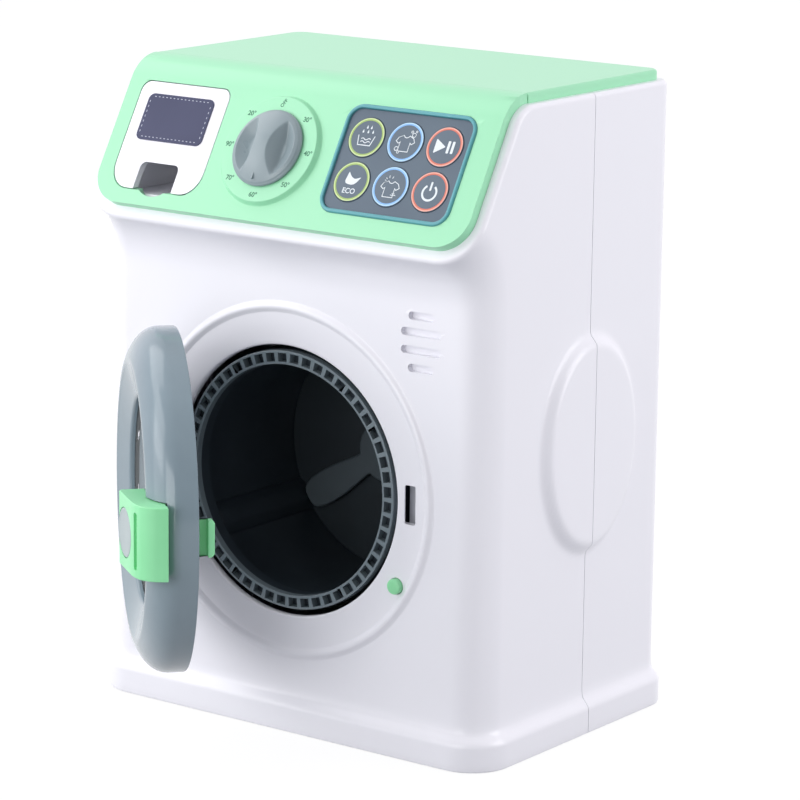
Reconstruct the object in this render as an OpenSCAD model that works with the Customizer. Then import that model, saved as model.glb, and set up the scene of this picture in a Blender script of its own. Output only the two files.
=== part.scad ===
/* [Cabinet] */
// Width across the side walls
body_w = 190; // [184:1:200]
// Depth from the front panel to the back wall
body_d = 126; // [124:1:136]
// Height with the top cover on
body_h = 260; // [256:1:272]
// Thickness of the moulded cabinet walls
wall = 2.5; // [2.2:0.1:3]
// Radius of the upright corners beside the front panel
front_corner_r = 14; // [10:1:16]
// Radius of the upright corners at the back
rear_corner_r = 8; // [6:1:12]
// Depth of the front half of the cabinet, up to the seam
front_half_d = 70; // [68:1:72]
// Gap that shows along the seam
seam_gap = 0.3; // [0.2:0.1:0.5]
// How far the plinth stands out all round
plinth_out = 3.5; // [2.5:0.5:4.5]
// Height of the upright face of the plinth
plinth_h = 11; // [9:1:13]
// Height of the bevel above that face
plinth_bevel_h = 4; // [3:0.5:5]
// Length of the raised side pad, front to back
pad_l = 67; // [60:1:72]
// Height of the raised side pad
pad_h = 89; // [80:1:92]
// Height of the middle of the side pad above the floor
pad_z = 118; // [112:1:124]
// How far the side pad stands out
pad_rise = 3.4; // [2:0.2:4]
// Width of the slope round the side pad
pad_slope = 5.2; // [4:0.2:7]

/* [Control slope] */
// Tilt of the control slope from upright
slope_tilt = 30; // [28:1:31]
// Height from the lower edge of the fascia to the top
slope_drop = 54.5; // [54:0.5:56]
// How far the lower edge of the fascia overhangs the front panel
lip_out = 12.2; // [11:0.2:13]
// Radius of the bend from the slope to the top
bend_r = 17.7; // [15:0.3:18]
// Thickness of the fascia and of the top cover
fascia_t = 4; // [3.5:0.5:4.5]
// White rim left bare beside the fascia
rim_side = 3.7; // [3:0.1:4.5]
// White lip left bare below the fascia
rim_low = 5; // [4:0.5:6]
// Radius of the lower corners of the fascia
fascia_corner_r = 13.5; // [11:0.5:15]

/* [Door] */
// Height of the middle of the door above the floor
door_z = 101.4; // [99:0.2:104]
// Radius of the opening in the front panel
opening_r = 54.3; // [54:0.1:55]
// Outer radius of the door ring
door_r = 66.6; // [66:0.1:67]
// Radius of the crest of the door ring
crest_r = 53.4; // [52:0.2:54.5]
// Radius of the hole in the door ring
door_hole_r = 40; // [38:0.5:41]
// Height of the crest above the front panel, door shut
crest_h = 18.8; // [18:0.2:20]
// Gap between the shut door and the front panel
door_gap = 0.6; // [0.4:0.1:0.8]
// Wall of the door ring
ring_wall = 2.4; // [2:0.1:2.6]
// Angle at which the door stands open
door_rest_angle = 43.2; // [30:0.2:50]
// Distance of the hinge pin in front of the panel
hinge_out = 5.4; // [5.2:0.1:5.8]
// Diameter of the hinge pin
hinge_pin_d = 3; // [2.6:0.2:3.2]
// Width of the raised bead round the door
bead_w = 4.5; // [4:0.1:5]
// Height of that bead
bead_h = 1.6; // [1.2:0.1:2]
// Height of the door handle
handle_h = 28; // [26:0.5:29]

/* [Drum] */
// Outer radius of the drum barrel
drum_r = 52; // [51:0.1:52.3]
// Length of the drum, front ring included
drum_l = 70; // [66:1:71]
// Diameter of the drum shaft
drum_shaft_d = 8; // [7:0.5:9]
// Number of windows in the drum ring
drum_windows = 48; // [40:1:50]
// Number of paddles in the drum
paddles = 3; // [3:1:4]
// Height of each paddle
paddle_h = 12; // [8:1:14]
// Module of the gear teeth
gear_module = 1; // [1:0.02:1.04]
// Teeth on the drum gear
drum_teeth = 60; // [56:1:60]
// Teeth on the motor pinion
pinion_teeth = 14; // [13:1:15]

/* [Controls] */
// Width of the drawer front
drawer_w = 45; // [43:0.5:46]
// Travel of the drawer
drawer_travel = 30; // [20:1:32]
// Radius of the dial knob
knob_r = 16.2; // [15:0.1:16.6]
// Height of the knob above its raised disc
knob_h = 6; // [5:0.2:8]
// Height of the raised disc under the knob
disc_h = 2; // [1.6:0.1:2.4]
// Width of the keypad frame
keypad_w = 61; // [60:0.5:62]
// Height of the keypad frame
keypad_h = 45; // [44.5:0.5:46]
// Radius of each round key
key_r = 8.2; // [7.8:0.05:8.4]
// Spacing of the keys
key_pitch = 18.35; // [18.2:0.05:18.6]
// Travel of a key
key_travel = 0.8; // [0.5:0.1:0.9]
// Travel of the door switch peg
peg_travel = 2; // [1.5:0.1:2.2]

/* [Hidden] */
$fn = 96;
e = 0.01;

// Fits used everywhere
run_fit = 0.05;
loose = 0.3;

// Planes and edges of the cabinet, origin on the floor under the middle
front_y = -body_d / 2;
back_y = body_d / 2;
side_x = body_w / 2;
seam_y = front_y + front_half_d;
shell_top = body_h - fascia_t;

// The control slope: v runs up it, c is the distance out along its normal
lip_z = body_h - slope_drop;
face_c = lip_out * cos(slope_tilt) + lip_z * sin(slope_tilt);
edge_v = lip_z * cos(slope_tilt) - lip_out * sin(slope_tilt);
shell_c = face_c - fascia_t;
inner_c = shell_c - wall;
shell_v = edge_v - rim_low;
shell_lip_r = fascia_corner_r + rim_side;
bend_z = body_h - bend_r;
bend_y = front_y + (sin(slope_tilt) * bend_z - face_c + bend_r) / cos(slope_tilt);
bend_v = (bend_y - front_y) * sin(slope_tilt) + bend_z * cos(slope_tilt);
cover_y = bend_y;
fascia_x = side_x - rim_side;
// Where the front panel starts to swell towards the lip
swell_z = lip_z - 25.5;

// Hinge of the door
hinge_x = -(door_r + 0.5);
hinge_y = front_y - hinge_out;
knuckle_r = hinge_pin_d / 2 + 1.8;
knuckle_half = 9;
ear_t = 4;
ear_gap = 0.4;
notch_half = knuckle_half + 2 * ear_gap + ear_t;

// Outline of the door ring: an ellipse from the rim to the crest, then a funnel to the hole
rim_flat = 7;
dome_r = 20;
dome_h = 12.85;
dome_end = 60;
funnel_h = crest_h - 3.7;
hole_lip_h = funnel_h - 2;
back_t = 2;
window_t = 1.8;
window_dip = 7;
seat_h = hole_lip_h - window_t - 0.1;

// The latch in the free edge of the door
latch_x = 60;
latch_pin_h = 8;
latch_pin_d = 3;
hook_reach = 6.3;
hook_half = 7.1;
slot_x0 = 57;
slot_x1 = 63.2;
slot_half = 7.7;
handle_pocket_half = handle_h / 2 + 0.4;

// The door switch peg
peg_x = 54.4;
peg_z = door_z - 33.1;
peg_r = 3.8;
peg_out = 2.4;
peg_turn = atan2(peg_z - door_z, peg_x);

// The drum and its drive, front to back
drum_front = front_y + 1;
ring_t = 3;
ring_inner_r = drum_r - 5.7;
barrel_wall = 2;
barrel_front = drum_front + ring_t;
barrel_back = drum_front + drum_l;
hub_l = 4;
carrier_y = front_y + 76;
carrier_t = 3;
plate_y = front_y + 90;
plate_t = 3;
bush_r = drum_shaft_d / 2 + 2;
gear_y = front_y + 82;
gear_t = 6;
gear_r = gear_module * drum_teeth / 2;
pinion_r = gear_module * pinion_teeth / 2;
drive_turn = 45;
drive_reach = gear_r + pinion_r;
motor_x = drive_reach * cos(drive_turn);
motor_z = door_z + drive_reach * sin(drive_turn);
motor_r = 12;
motor_l = 24;
motor_shaft_d = 2;
post_x = 76;
post_dz = 45;
post_r = 4;
post_turns = [150, 270];
post_reach = 37;
far_post_reach = 53.5;

// Controls on the slope, from its lower edge
dial_u = -10;
dial_v = edge_v + 29.3;
disc_r = 22.5;
disc_foot = 2;
knob_shaft_d = 8;
keypad_u = 50.65;
keypad_v = edge_v + 30.4;
key_rise = 0.7;
panel_drop = -0.2;
board_drop = fascia_t + 4;
drawer_x = -61.2;
drawer_v = edge_v + 6.5;
drawer_len = 45.6;
drawer_t = 3;
drawer_z0 = drawer_v * cos(slope_tilt) + face_c * sin(slope_tilt);
drawer_z1 = (drawer_v + drawer_len) * cos(slope_tilt) + face_c * sin(slope_tilt);
drawer_gap = 0.35;
notch_w = 19.4;
notch_z = drawer_z0 + 10.1;
tray_half = drawer_w / 2 - 3.5;
tray_z0 = notch_z + 1.2;
tray_z1 = drawer_z1 - 7.5;
tray_back = front_y + 50;
tray_wall = 1.8;
housing_back = tray_back + 7;
housing_half = tray_half + 3.4;
housing_z0 = drawer_z0 - 4;
label_w = 33.5;
label_l = 19.9;
label_v = edge_v + 37.1;
label_t = 0.4;

// Vents and speaker
vent_x = 64.7;
vent_z = 165.3;
vent_h = 3.2;
vents = [[10.1, 6], [3.8, 9.4], [-3.2, 9.4], [-10.1, 6]];
speaker_r = 16;

// Screws that hold the two halves together
screw_x = side_x - 8;
screw_zs = [24, 112, 200];
screw_boss_r = 4;
screw_seat = seam_y + 13;
screw_d = 2.8;

// Battery box in the back wall
cell_d = 14.2;
cell_l = 50.2;
cell_pitch = 16;
cells = 3;
box_half = cell_l / 2 + 5.9;
box_z0 = 22;
box_h = cells * cell_pitch + 9;
cover_screw_z = box_z0 + box_h - 4;
box_d = 17.5;
cover_t = 2.2;

function arc_points(x, y, r, a0, a1, n) =
    [for (i = [0:n]) let (a = a0 + (a1 - a0) * i / n) [x + r * cos(a), y + r * sin(a)]];
function mirrored(points) = [for (i = [len(points) - 1:-1:0]) [-points[i][0], points[i][1]]];
function slope_y(v, c) = front_y + sin(slope_tilt) * v - cos(slope_tilt) * c;
function slope_z(v, c) = cos(slope_tilt) * v + sin(slope_tilt) * c;

// Stands children on the slope at u across, v up it and c out of it
module on_slope(u = 0, v = 0, c = 0) {
    translate([0, front_y, 0]) rotate([90 - slope_tilt, 0, 0]) translate([u, v, c]) children();
}

// Turns children to face the front: their z points forwards, their y up
module facing(x, y, z) {
    translate([x, y, z]) rotate([90, 0, 0]) children();
}

// The shut door: x across, y up from its middle, z out of the front panel
module on_door(x = 0, y = 0, h = 0) {
    translate([0, front_y, door_z]) rotate([90, 0, 0]) translate([x, y, h]) children();
}

// Swings children on the hinge to where the door stands
module door_stand() {
    translate([hinge_x, hinge_y, 0]) rotate([0, 0, -door_rest_angle])
        translate([-hinge_x, -hinge_y, 0]) children();
}

// All that lies behind the slope plane at distance c
module behind_slope(c) {
    on_slope(-body_w, -body_h, c - 3 * body_h) cube([2 * body_w, 4 * body_h, 3 * body_h]);
}

module rounded_bar(w, h, r) {
    polygon(concat(arc_points(w / 2 - r, h / 2 - r, r, 0, 90, 8),
        arc_points(-w / 2 + r, h / 2 - r, r, 90, 180, 8),
        arc_points(-w / 2 + r, -h / 2 + r, r, 180, 270, 8),
        arc_points(w / 2 - r, -h / 2 + r, r, 270, 360, 8)));
}

module along_x(w) {
    translate([w / 2, 0, 0]) rotate([90, 0, -90]) mirror([1, 0, 0]) linear_extrude(w) children();
}

module tube(r, bore, h) {
    difference() {
        cylinder(r = r, h = h);
        translate([0, 0, -1]) cylinder(r = bore, h = h + 2);
    }
}

// Coil of wire along z, ground flat by its own end rings
module coil(r, wire, length, turns, sides = 6, per_turn = 8) {
    steps = turns * per_turn;
    rings = [for (i = [0:steps]) let (a = 360 * i / per_turn)
        [for (k = [0:sides - 1]) let (b = 360 * k / sides)
            [(r + wire * cos(b)) * cos(a), (r + wire * cos(b)) * sin(a),
             wire + (length - 2 * wire) * i / steps + wire * sin(b)]]];
    points = [for (ring = rings) for (p = ring) p];
    last = steps * sides;
    faces = concat(
        [for (i = [0:steps - 1]) for (k = [0:sides - 1]) let (k2 = (k + 1) % sides)
            [i * sides + k, i * sides + k2, (i + 1) * sides + k2]],
        [for (i = [0:steps - 1]) for (k = [0:sides - 1]) let (k2 = (k + 1) % sides)
            [i * sides + k, (i + 1) * sides + k2, (i + 1) * sides + k]],
        [for (k = [1:sides - 2]) [0, k + 1, k]],
        [for (k = [1:sides - 2]) [last, last + k, last + k + 1]]);
    polyhedron(points, faces);
}

// Involute spur gear in the xy plane, with a tooth on the x axis
pressure = 25;
backlash = 0.12;
function involute(a) = tan(a) * 180 / PI - a;
function tooth_side(n, r) = let (base = gear_module * n / 2 * cos(pressure))
    90 / n - backlash / 2 / (gear_module * n / 2) * 180 / PI
    + involute(pressure) - involute(acos(min(1, base / r)));
module gear(n, bore, h) {
    pitch = gear_module * n / 2;
    base = pitch * cos(pressure);
    root = pitch - 1.15 * gear_module;
    tip = pitch + 0.9 * gear_module;
    low = max(base, root + 0.1);
    steps = 4;
    radii = [for (i = [0:steps]) low + (tip - low) * i / steps];
    outline = [for (t = [0:n - 1]) let (mid = 360 * t / n) each concat(
        [[root * cos(mid - tooth_side(n, low)), root * sin(mid - tooth_side(n, low))]],
        [for (r = radii) [r * cos(mid - tooth_side(n, r)), r * sin(mid - tooth_side(n, r))]],
        [for (i = [steps:-1:0]) let (r = radii[i])
            [r * cos(mid + tooth_side(n, r)), r * sin(mid + tooth_side(n, r))]],
        [[root * cos(mid + tooth_side(n, low)), root * sin(mid + tooth_side(n, low))]])];
    difference() {
        linear_extrude(h) polygon(outline);
        translate([0, 0, -1]) cylinder(r = bore, h = h + 2);
    }
}

// Plan of the front half; out grows it, used for the plinth and, below zero, for the hollow
function front_plan(out, back) = let (
    r = front_corner_r + out,
    left = concat([[-side_x - out, back]],
        arc_points(-side_x + front_corner_r, front_y + front_corner_r, r, 180, 270, 10)))
    concat(left, mirrored(left));
function rear_plan(out, front) = let (
    r = rear_corner_r + out,
    left = concat([[-side_x - out, front]],
        arc_points(-side_x + rear_corner_r, back_y - rear_corner_r, r, 180, 90, 8)))
    concat(left, mirrored(left));

// Skin of the front half: level rings for the panel, swept out to the lip of the slope
side_steps = 8;
bend_steps = 6;
lip_steps = 8;
swell_steps = 7;
half_points = side_steps + lip_steps + 1;
seam_front = seam_y - seam_gap / 2;
function level_half(z) = concat(
    [for (i = [0:side_steps - 1])
        [-side_x, seam_front + (front_y + front_corner_r - seam_front) * i / side_steps, z]],
    [for (p = arc_points(-side_x + front_corner_r, front_y + front_corner_r,
        front_corner_r, 180, 270, lip_steps)) [p[0], p[1], z]]);
function lip_half(inset, deep) = concat(
    [[-side_x + inset, seam_front, shell_top - deep]],
    [for (p = arc_points(bend_y, bend_z, bend_r - fascia_t - deep, 90, 180 - slope_tilt, bend_steps))
        [-side_x + inset, p[0], p[1]]],
    [for (p = arc_points(-side_x + shell_lip_r, shell_v + shell_lip_r, shell_lip_r - inset,
        180, 270, lip_steps)) [p[0], slope_y(p[1], shell_c - deep), slope_z(p[1], shell_c - deep)]]);
function swell_half(t) = let (low = level_half(swell_z), high = lip_half(0, 2))
    [for (i = [0:half_points - 1]) let (
        a = low[i],
        b = high[i],
        knee = i < side_steps ? (a + b) / 2 : [a[0], a[1], b[2] - (a[1] - b[1]) * tan(slope_tilt)])
        (1 - t) * (1 - t) * a + 2 * t * (1 - t) * knee + t * t * b];
module front_skin() {
    halves = concat([level_half(0)],
        [for (k = [0:swell_steps]) swell_half(k / swell_steps)],
        [lip_half(0.6, 0.6), lip_half(2, 0)]);
    n = 2 * half_points;
    rings = [for (h = halves) concat(h, [for (i = [half_points - 1:-1:0]) [-h[i][0], h[i][1], h[i][2]]])];
    last = (len(rings) - 1) * n;
    points = [for (ring = rings) for (p = ring) p];
    faces = concat(
        [for (k = [0:len(rings) - 2]) for (i = [0:n - 2])
            [k * n + i, (k + 1) * n + i, (k + 1) * n + i + 1]],
        [for (k = [0:len(rings) - 2]) for (i = [0:n - 2])
            [k * n + i, (k + 1) * n + i + 1, k * n + i + 1]],
        [for (i = [0:half_points - 2]) [i, i + 1, n - 2 - i]],
        [for (i = [0:half_points - 2]) [i, n - 2 - i, n - 1 - i]],
        [for (i = [0:half_points - 2]) [last + i, last + n - 2 - i, last + i + 1]],
        [for (i = [0:half_points - 2]) [last + i, last + n - 1 - i, last + n - 2 - i]],
        [for (k = [0:len(rings) - 2]) [k * n, (k + 1) * n + n - 1, (k + 1) * n]],
        [for (k = [0:len(rings) - 2]) [k * n, k * n + n - 1, (k + 1) * n + n - 1]]);
    polyhedron(points, faces);
}

// Side profile of the hollow behind the front panel and the slope
bend_cut_v = bend_v - 3;
module front_hollow() {
    intersection() {
        translate([0, 0, wall]) linear_extrude(shell_top - 2 * wall) polygon(front_plan(-wall, seam_y));
        along_x(body_w) polygon([[front_y + wall, 0],
            [front_y + wall, slope_z((wall + cos(slope_tilt) * inner_c) / sin(slope_tilt), inner_c)],
            [slope_y(bend_cut_v, inner_c), slope_z(bend_cut_v, inner_c)],
            [bend_y - 4.4, shell_top - wall - 1.5], [bend_y + 3.6, shell_top - wall],
            [seam_y, shell_top - wall], [seam_y, 0]]);
    }
    intersection() {
        along_x(body_w - 2 * wall) polygon([
            [slope_y(shell_v + wall, inner_c), slope_z(shell_v + wall, inner_c)],
            [slope_y(bend_cut_v, inner_c), slope_z(bend_cut_v, inner_c)],
            [bend_y, slope_z(bend_cut_v, inner_c)],
            [bend_y, slope_z(shell_v + wall, inner_c)]]);
        on_slope(0, 0, inner_c - 80) linear_extrude(100) polygon(let (
            r = shell_lip_r - wall,
            left = concat([[-side_x + wall, shell_v + 100]],
                arc_points(-side_x + shell_lip_r, shell_v + shell_lip_r, r, 180, 270, 8)))
            concat(left, mirrored(left)));
    }
}

module plinth(points, body_points) {
    hull() {
        linear_extrude(plinth_h) polygon(points);
        linear_extrude(plinth_h + plinth_bevel_h) polygon(body_points);
    }
}

module side_pad(side) {
    module oval(a, b, h) {
        linear_extrude(h) polygon([for (t = [0:7.5:352.5]) [a * cos(t), b * sin(t)]]);
    }
    translate([side * (side_x - 1), front_y + front_half_d + 1, pad_z]) rotate([0, side * 90, 0])
        rotate([0, 0, 90]) hull() {
            oval(pad_l / 2, pad_h / 2, 1);
            oval(pad_l / 2 - pad_slope, pad_h / 2 - pad_slope, pad_rise + 1);
        }
}

// Box tube round the seam, inset from the outer walls
module seam_tube(outer, inner, y0, y1) {
    difference() {
        translate([-side_x + outer, y0, outer]) cube([body_w - 2 * outer, y1 - y0, shell_top - 2 * outer]);
        translate([-side_x + inner, y0 - 1, inner])
            cube([body_w - 2 * inner, y1 - y0 + 2, shell_top - 2 * inner]);
    }
}

module at_screws() {
    for (x = [-screw_x, screw_x]) for (z = screw_zs) translate([x, 0, z]) children();
}

module at_posts() {
    for (x = [-post_x, post_x]) for (dz = [-post_dz, post_dz]) translate([x, 0, door_z + dz]) children();
}

bead_r0 = door_r + 0.6;
slope_peg_r = 2.4;
slope_peg_u = side_x - wall - 4;
slope_pegs = [edge_v + 12, edge_v + 44];
cover_peg_x = side_x - 16;
window_half = side_x - 10;
slope_window_v0 = edge_v + 4;
slope_window_v1 = bend_v + 2;

module front_shell() {
    color("#eceef4") difference() {
        union() {
            difference() {
                union() {
                    front_skin();
                    plinth(front_plan(plinth_out, seam_front), front_plan(0, seam_front));
                    intersection() {
                        union() {
                            side_pad(-1);
                            side_pad(1);
                        }
                        translate([-body_w, -body_d, 0]) cube([2 * body_w, body_d + seam_front, body_h]);
                    }
                }
                front_hollow();
            }
            // bead round the door, in two steps
            on_door() rotate_extrude() polygon([[bead_r0, -e], [bead_r0 + 0.5, bead_h * 0.7],
                [bead_r0 + 1.6, bead_h], [bead_r0 + bead_w - 1.6, bead_h],
                [bead_r0 + bead_w - 0.5, bead_h * 0.7], [bead_r0 + bead_w, -e]]);
            // collar round the opening
            facing(0, front_y + 5, door_z) cylinder(r = opening_r + 1.5, h = 5 - e);
            // ears that carry the hinge pin
            for (z = [door_z + knuckle_half + ear_gap, door_z - knuckle_half - ear_gap - ear_t])
                translate([hinge_x, hinge_y, z]) {
                    cylinder(r = knuckle_r, h = ear_t);
                    translate([-knuckle_r, 0, 0]) cube([2 * knuckle_r, hinge_out + 1, ear_t]);
                }
            // posts for the drum carrier
            at_posts() facing(0, carrier_y, 0)
                cylinder(r = post_r, h = carrier_y - front_y - wall + e);
            // screw bosses beside the seam
            at_screws() {
                facing(0, seam_front, 0) cylinder(r = screw_boss_r, h = 25);
            }
            for (side = [-1, 1]) for (z = screw_zs)
                translate([side * (screw_x + side_x - wall + e) / 2, seam_front - 12.5, z])
                    cube([side_x - wall + e - screw_x, 25, 1.6], center = true);
            // tongue inside the seam
            seam_tube(wall - e, wall + 1.35, seam_front - 4, seam_front - 0.5);
            seam_tube(wall + 0.15, wall + 1.35, seam_front - 4, seam_front + 3.5);
        }
        // opening for the drum
        facing(0, front_y + 6, door_z) cylinder(r = opening_r, h = 12);
        // room for the door knuckle in the bead
        on_door(-door_r - 8, -knuckle_half - ear_gap + e, 0.02)
            cube([16, 2 * (knuckle_half + ear_gap - e), 6]);
        translate([hinge_x, hinge_y, door_z - 20]) cylinder(d = hinge_pin_d + 0.02, h = 40);
        // screw holes
        at_screws() facing(0, seam_y, 0) cylinder(d = screw_d + 0.04, h = 21);
        at_posts() facing(0, carrier_y + 1, 0) cylinder(d = screw_d + 0.04, h = 16);
        // vents
        for (v = vents) facing(vent_x, front_y + wall + 1, vent_z + v[0]) linear_extrude(wall + 2)
            rounded_bar(2 * v[1], vent_h, vent_h / 2 - e);
        // latch slot and peg hole
        on_door((slot_x0 + slot_x1) / 2, 0, -wall - 1) linear_extrude(wall + 2)
            rounded_bar(slot_x1 - slot_x0, 2 * slot_half, 0.8);
        facing(peg_x, front_y + wall + 1, peg_z) cylinder(r = peg_r + loose, h = wall + 2);
        // window in the slope behind the fascia, and holes for the pegs of the covers
        on_slope(0, (slope_window_v0 + slope_window_v1) / 2, inner_c - 2) linear_extrude(wall + 4)
            rounded_bar(2 * window_half, slope_window_v1 - slope_window_v0, 6);
        for (u = [-slope_peg_u, slope_peg_u]) for (v = slope_pegs)
            on_slope(u, v, inner_c - 5) cylinder(r = slope_peg_r + 0.1, h = 10);
        for (x = [-cover_peg_x, cover_peg_x]) translate([x, cover_y + 14, shell_top - 6])
            cylinder(r = slope_peg_r + 0.1, h = 10);
    }
}

seam_rear = seam_y + seam_gap / 2;
module rear_shell() {
    color("#e9ebf2") difference() {
        union() {
            difference() {
                union() {
                    hull() {
                        linear_extrude(shell_top - 2) polygon(rear_plan(0, seam_rear));
                        linear_extrude(shell_top - 0.6) polygon(rear_plan(-0.6, seam_rear));
                        linear_extrude(shell_top) polygon(rear_plan(-2, seam_rear));
                    }
                    plinth(rear_plan(plinth_out, seam_rear), rear_plan(0, seam_rear));
                    intersection() {
                        union() {
                            side_pad(-1);
                            side_pad(1);
                        }
                        translate([-body_w, seam_rear, 0]) cube([2 * body_w, body_d, body_h]);
                    }
                }
                translate([0, 0, wall]) linear_extrude(shell_top - 2 * wall)
                    polygon(rear_plan(-wall, seam_y - 1));
            }
            // screw bosses with ribs
            at_screws() facing(0, back_y - wall + e, 0)
                cylinder(r = screw_boss_r, h = back_y - wall + e - seam_rear);
            for (side = [-1, 1]) for (z = screw_zs)
                translate([side * (screw_x + side_x - wall + e) / 2, (seam_y + 5 + back_y - wall) / 2, z])
                    cube([side_x - wall + e - screw_x, back_y - wall - seam_y - 5, 1.6], center = true);
            // posts for the main board
            for (p = board_posts) facing(p[0], back_y - wall + e, p[1])
                cylinder(r = 3, h = back_y - wall + e - board_y - board_t);
        }
        // screw wells from the back
        at_screws() facing(0, back_y + 1, 0) cylinder(r = screw_d, h = back_y + 1 - screw_seat);
        at_screws() facing(0, screw_seat + 1, 0) cylinder(d = screw_d + 0.4, h = 40);
        // battery opening
        translate([-box_half, back_y - wall - 1, box_z0]) cube([2 * box_half, wall + 2, box_h]);
        for (x = [-cover_peg_x, cover_peg_x]) translate([x, back_y - 20, shell_top - 6])
            cylinder(r = slope_peg_r + 0.1, h = 10);
    }
}

module shell_screws() {
    color("#9ea2a8") at_screws() facing(0, screw_seat, 0) {
        translate([0, 0, -2]) cylinder(r = screw_d - 0.1, h = 2);
        cylinder(d = screw_d, h = screw_seat - seam_y + 14);
    }
}

// Outline of the drawer front, seen from the front
module drawer_outline(grow) {
    w = drawer_w + 2 * grow;
    low = drawer_z0 - grow;
    high = drawer_z1 + grow;
    polygon(concat(
        arc_points(drawer_x + w / 2 - 4, high - 4, 4, 0, 90, 6),
        arc_points(drawer_x - w / 2 + 4, high - 4, 4, 90, 180, 6),
        arc_points(drawer_x - w / 2 + 9, low + 9, 9, 180, 270, 8),
        arc_points(drawer_x + w / 2 - 9, low + 9, 9, 270, 360, 8)));
}

module control_fascia() {
    color("#b8fbd2") difference() {
        union() {
            intersection() {
                along_x(2 * fascia_x) polygon(concat(
                    [[slope_y(edge_v, face_c), slope_z(edge_v, face_c)]],
                    arc_points(bend_y, bend_z, bend_r, 180 - slope_tilt, 90, 12),
                    arc_points(bend_y, bend_z, bend_r - fascia_t, 90, 180 - slope_tilt, 12),
                    [[slope_y(edge_v, shell_c), slope_z(edge_v, shell_c)]]));
                on_slope(0, 0, shell_c - 60) linear_extrude(120) polygon(let (
                    r = fascia_corner_r,
                    left = concat([[-fascia_x, edge_v + 120]],
                        arc_points(-fascia_x + r, edge_v + r, r, 180, 270, 12)))
                    concat(left, mirrored(left)));
            }
            on_slope(dial_u, dial_v, face_c - e)
                cylinder(r1 = disc_r + disc_foot, r2 = disc_r, h = disc_h + e);
            for (u = [-slope_peg_u, slope_peg_u]) for (v = slope_pegs)
                on_slope(u, v, shell_c - wall - 1.5) cylinder(r = slope_peg_r, h = wall + 1.5 + e);
        }
        // openings for the drawer, its finger scoop, the dial shaft and the keypad
        facing(0, back_y, 0) linear_extrude(2 * body_d) drawer_outline(drawer_gap);
        on_slope(drawer_x, drawer_v + 7.5, shell_c - 1) cylinder(r = 10, h = fascia_t + 2);
        on_slope(dial_u, dial_v, shell_c - 1) cylinder(d = knob_shaft_d + 0.6, h = fascia_t + disc_h + 2);
        on_slope(keypad_u, keypad_v, shell_c - 1) linear_extrude(fascia_t + 2)
            rounded_bar(keypad_w + 0.2, keypad_h + 0.2, 7.1);
    }
}

cover_edge = 1.2;
function cover_plan(inset) = let (
    r = rear_corner_r - 2 - inset,
    left = concat([[-fascia_x + inset, cover_y + 0.2]],
        arc_points(-fascia_x + rear_corner_r - 2, back_y - 3 - rear_corner_r + 2, r, 180, 90, 8)))
    concat(left, mirrored(left));
module top_cover() {
    color("#c8f5da") union() {
        hull() {
            translate([0, 0, shell_top]) linear_extrude(fascia_t - cover_edge) polygon(cover_plan(0));
            translate([0, 0, shell_top]) linear_extrude(fascia_t) polygon(cover_plan(cover_edge));
        }
        for (x = [-cover_peg_x, cover_peg_x]) for (y = [cover_y + 14, back_y - 20])
            translate([x, y, shell_top - wall - 1.5]) cylinder(r = slope_peg_r, h = wall + 1.5 + e);
    }
}

// Keypad: frame, panel, board and six keys
frame_lip = 2.3;
ledge = 0.7;
panel_t = 2;
panel_w = keypad_w - 2 * frame_lip - 0.2;
panel_h = keypad_h - 2 * frame_lip - 0.2;
frame_rise = 0.8;
flange_deep = 1.5;
board_post_x = keypad_w / 2 - 2.4;
board_post_y = keypad_h / 2 - 2.4;
module on_keypad(c) {
    on_slope(keypad_u, keypad_v, face_c + c) children();
}
module keypad_frame() {
    panel_back = panel_drop - panel_t;
    color("#56b3a8") union() {
        difference() {
            union() {
                on_keypad(-fascia_t) linear_extrude(fascia_t + frame_rise)
                    rounded_bar(keypad_w, keypad_h, 7);
                on_keypad(-fascia_t - flange_deep) linear_extrude(flange_deep)
                    rounded_bar(keypad_w + 4, keypad_h + 1.6, 7);
            }
            on_keypad(panel_back) linear_extrude(10)
                rounded_bar(panel_w + 0.1, panel_h + 0.1, 5);
            on_keypad(-20) linear_extrude(30)
                rounded_bar(panel_w - 2 * ledge, panel_h - 2 * ledge, 4.4);
        }
        for (x = [-board_post_x, board_post_x]) for (y = [-board_post_y, board_post_y])
            on_keypad(-board_drop) translate([x, y, 0])
                cylinder(r = 1.6, h = board_drop - fascia_t - flange_deep + 0.6);
    }
}
module at_keys() {
    for (i = [-1:1]) for (j = [-0.5, 0.5]) translate([i * key_pitch, j * key_pitch, 0]) children();
}
module keypad_panel() {
    color("#6f7f96") on_keypad(panel_drop - panel_t) difference() {
        linear_extrude(panel_t) rounded_bar(panel_w, panel_h, 5);
        translate([0, 0, -1]) at_keys() cylinder(r = key_r + loose, h = panel_t + 2);
    }
}
flange_r = key_r + 0.5;
flange_t = 1.2;
key_low = panel_drop - panel_t - loose - flange_t;
stem_end = -board_drop + 0.7 + key_travel + 0.1;
module keypad_board() {
    color("#2f6b4a") on_keypad(-board_drop - 1.6) union() {
        linear_extrude(1.6) rounded_bar(keypad_w + 3, keypad_h, 2);
        translate([0, 0, 1.6 - e]) at_keys() cylinder(r1 = 4, r2 = 2.6, h = 0.7 + e);
    }
}
module key(i, j) {
    color("#71819a") on_keypad(0) translate([i * key_pitch, (j - 0.5) * key_pitch, 0]) {
        translate([0, 0, key_low]) cylinder(r = flange_r, h = flange_t);
        translate([0, 0, key_low]) cylinder(r = key_r, h = -key_low + panel_drop + key_rise - 0.3);
        translate([0, 0, panel_drop + key_rise - 0.3 - e])
            cylinder(r1 = key_r, r2 = key_r - 0.3, h = 0.3 + e);
        translate([0, 0, stem_end]) cylinder(r = 2.4, h = key_low - stem_end + e);
    }
}
module key_soak() { key(-1, 1); }
module key_bubbles() { key(0, 1); }
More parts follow.
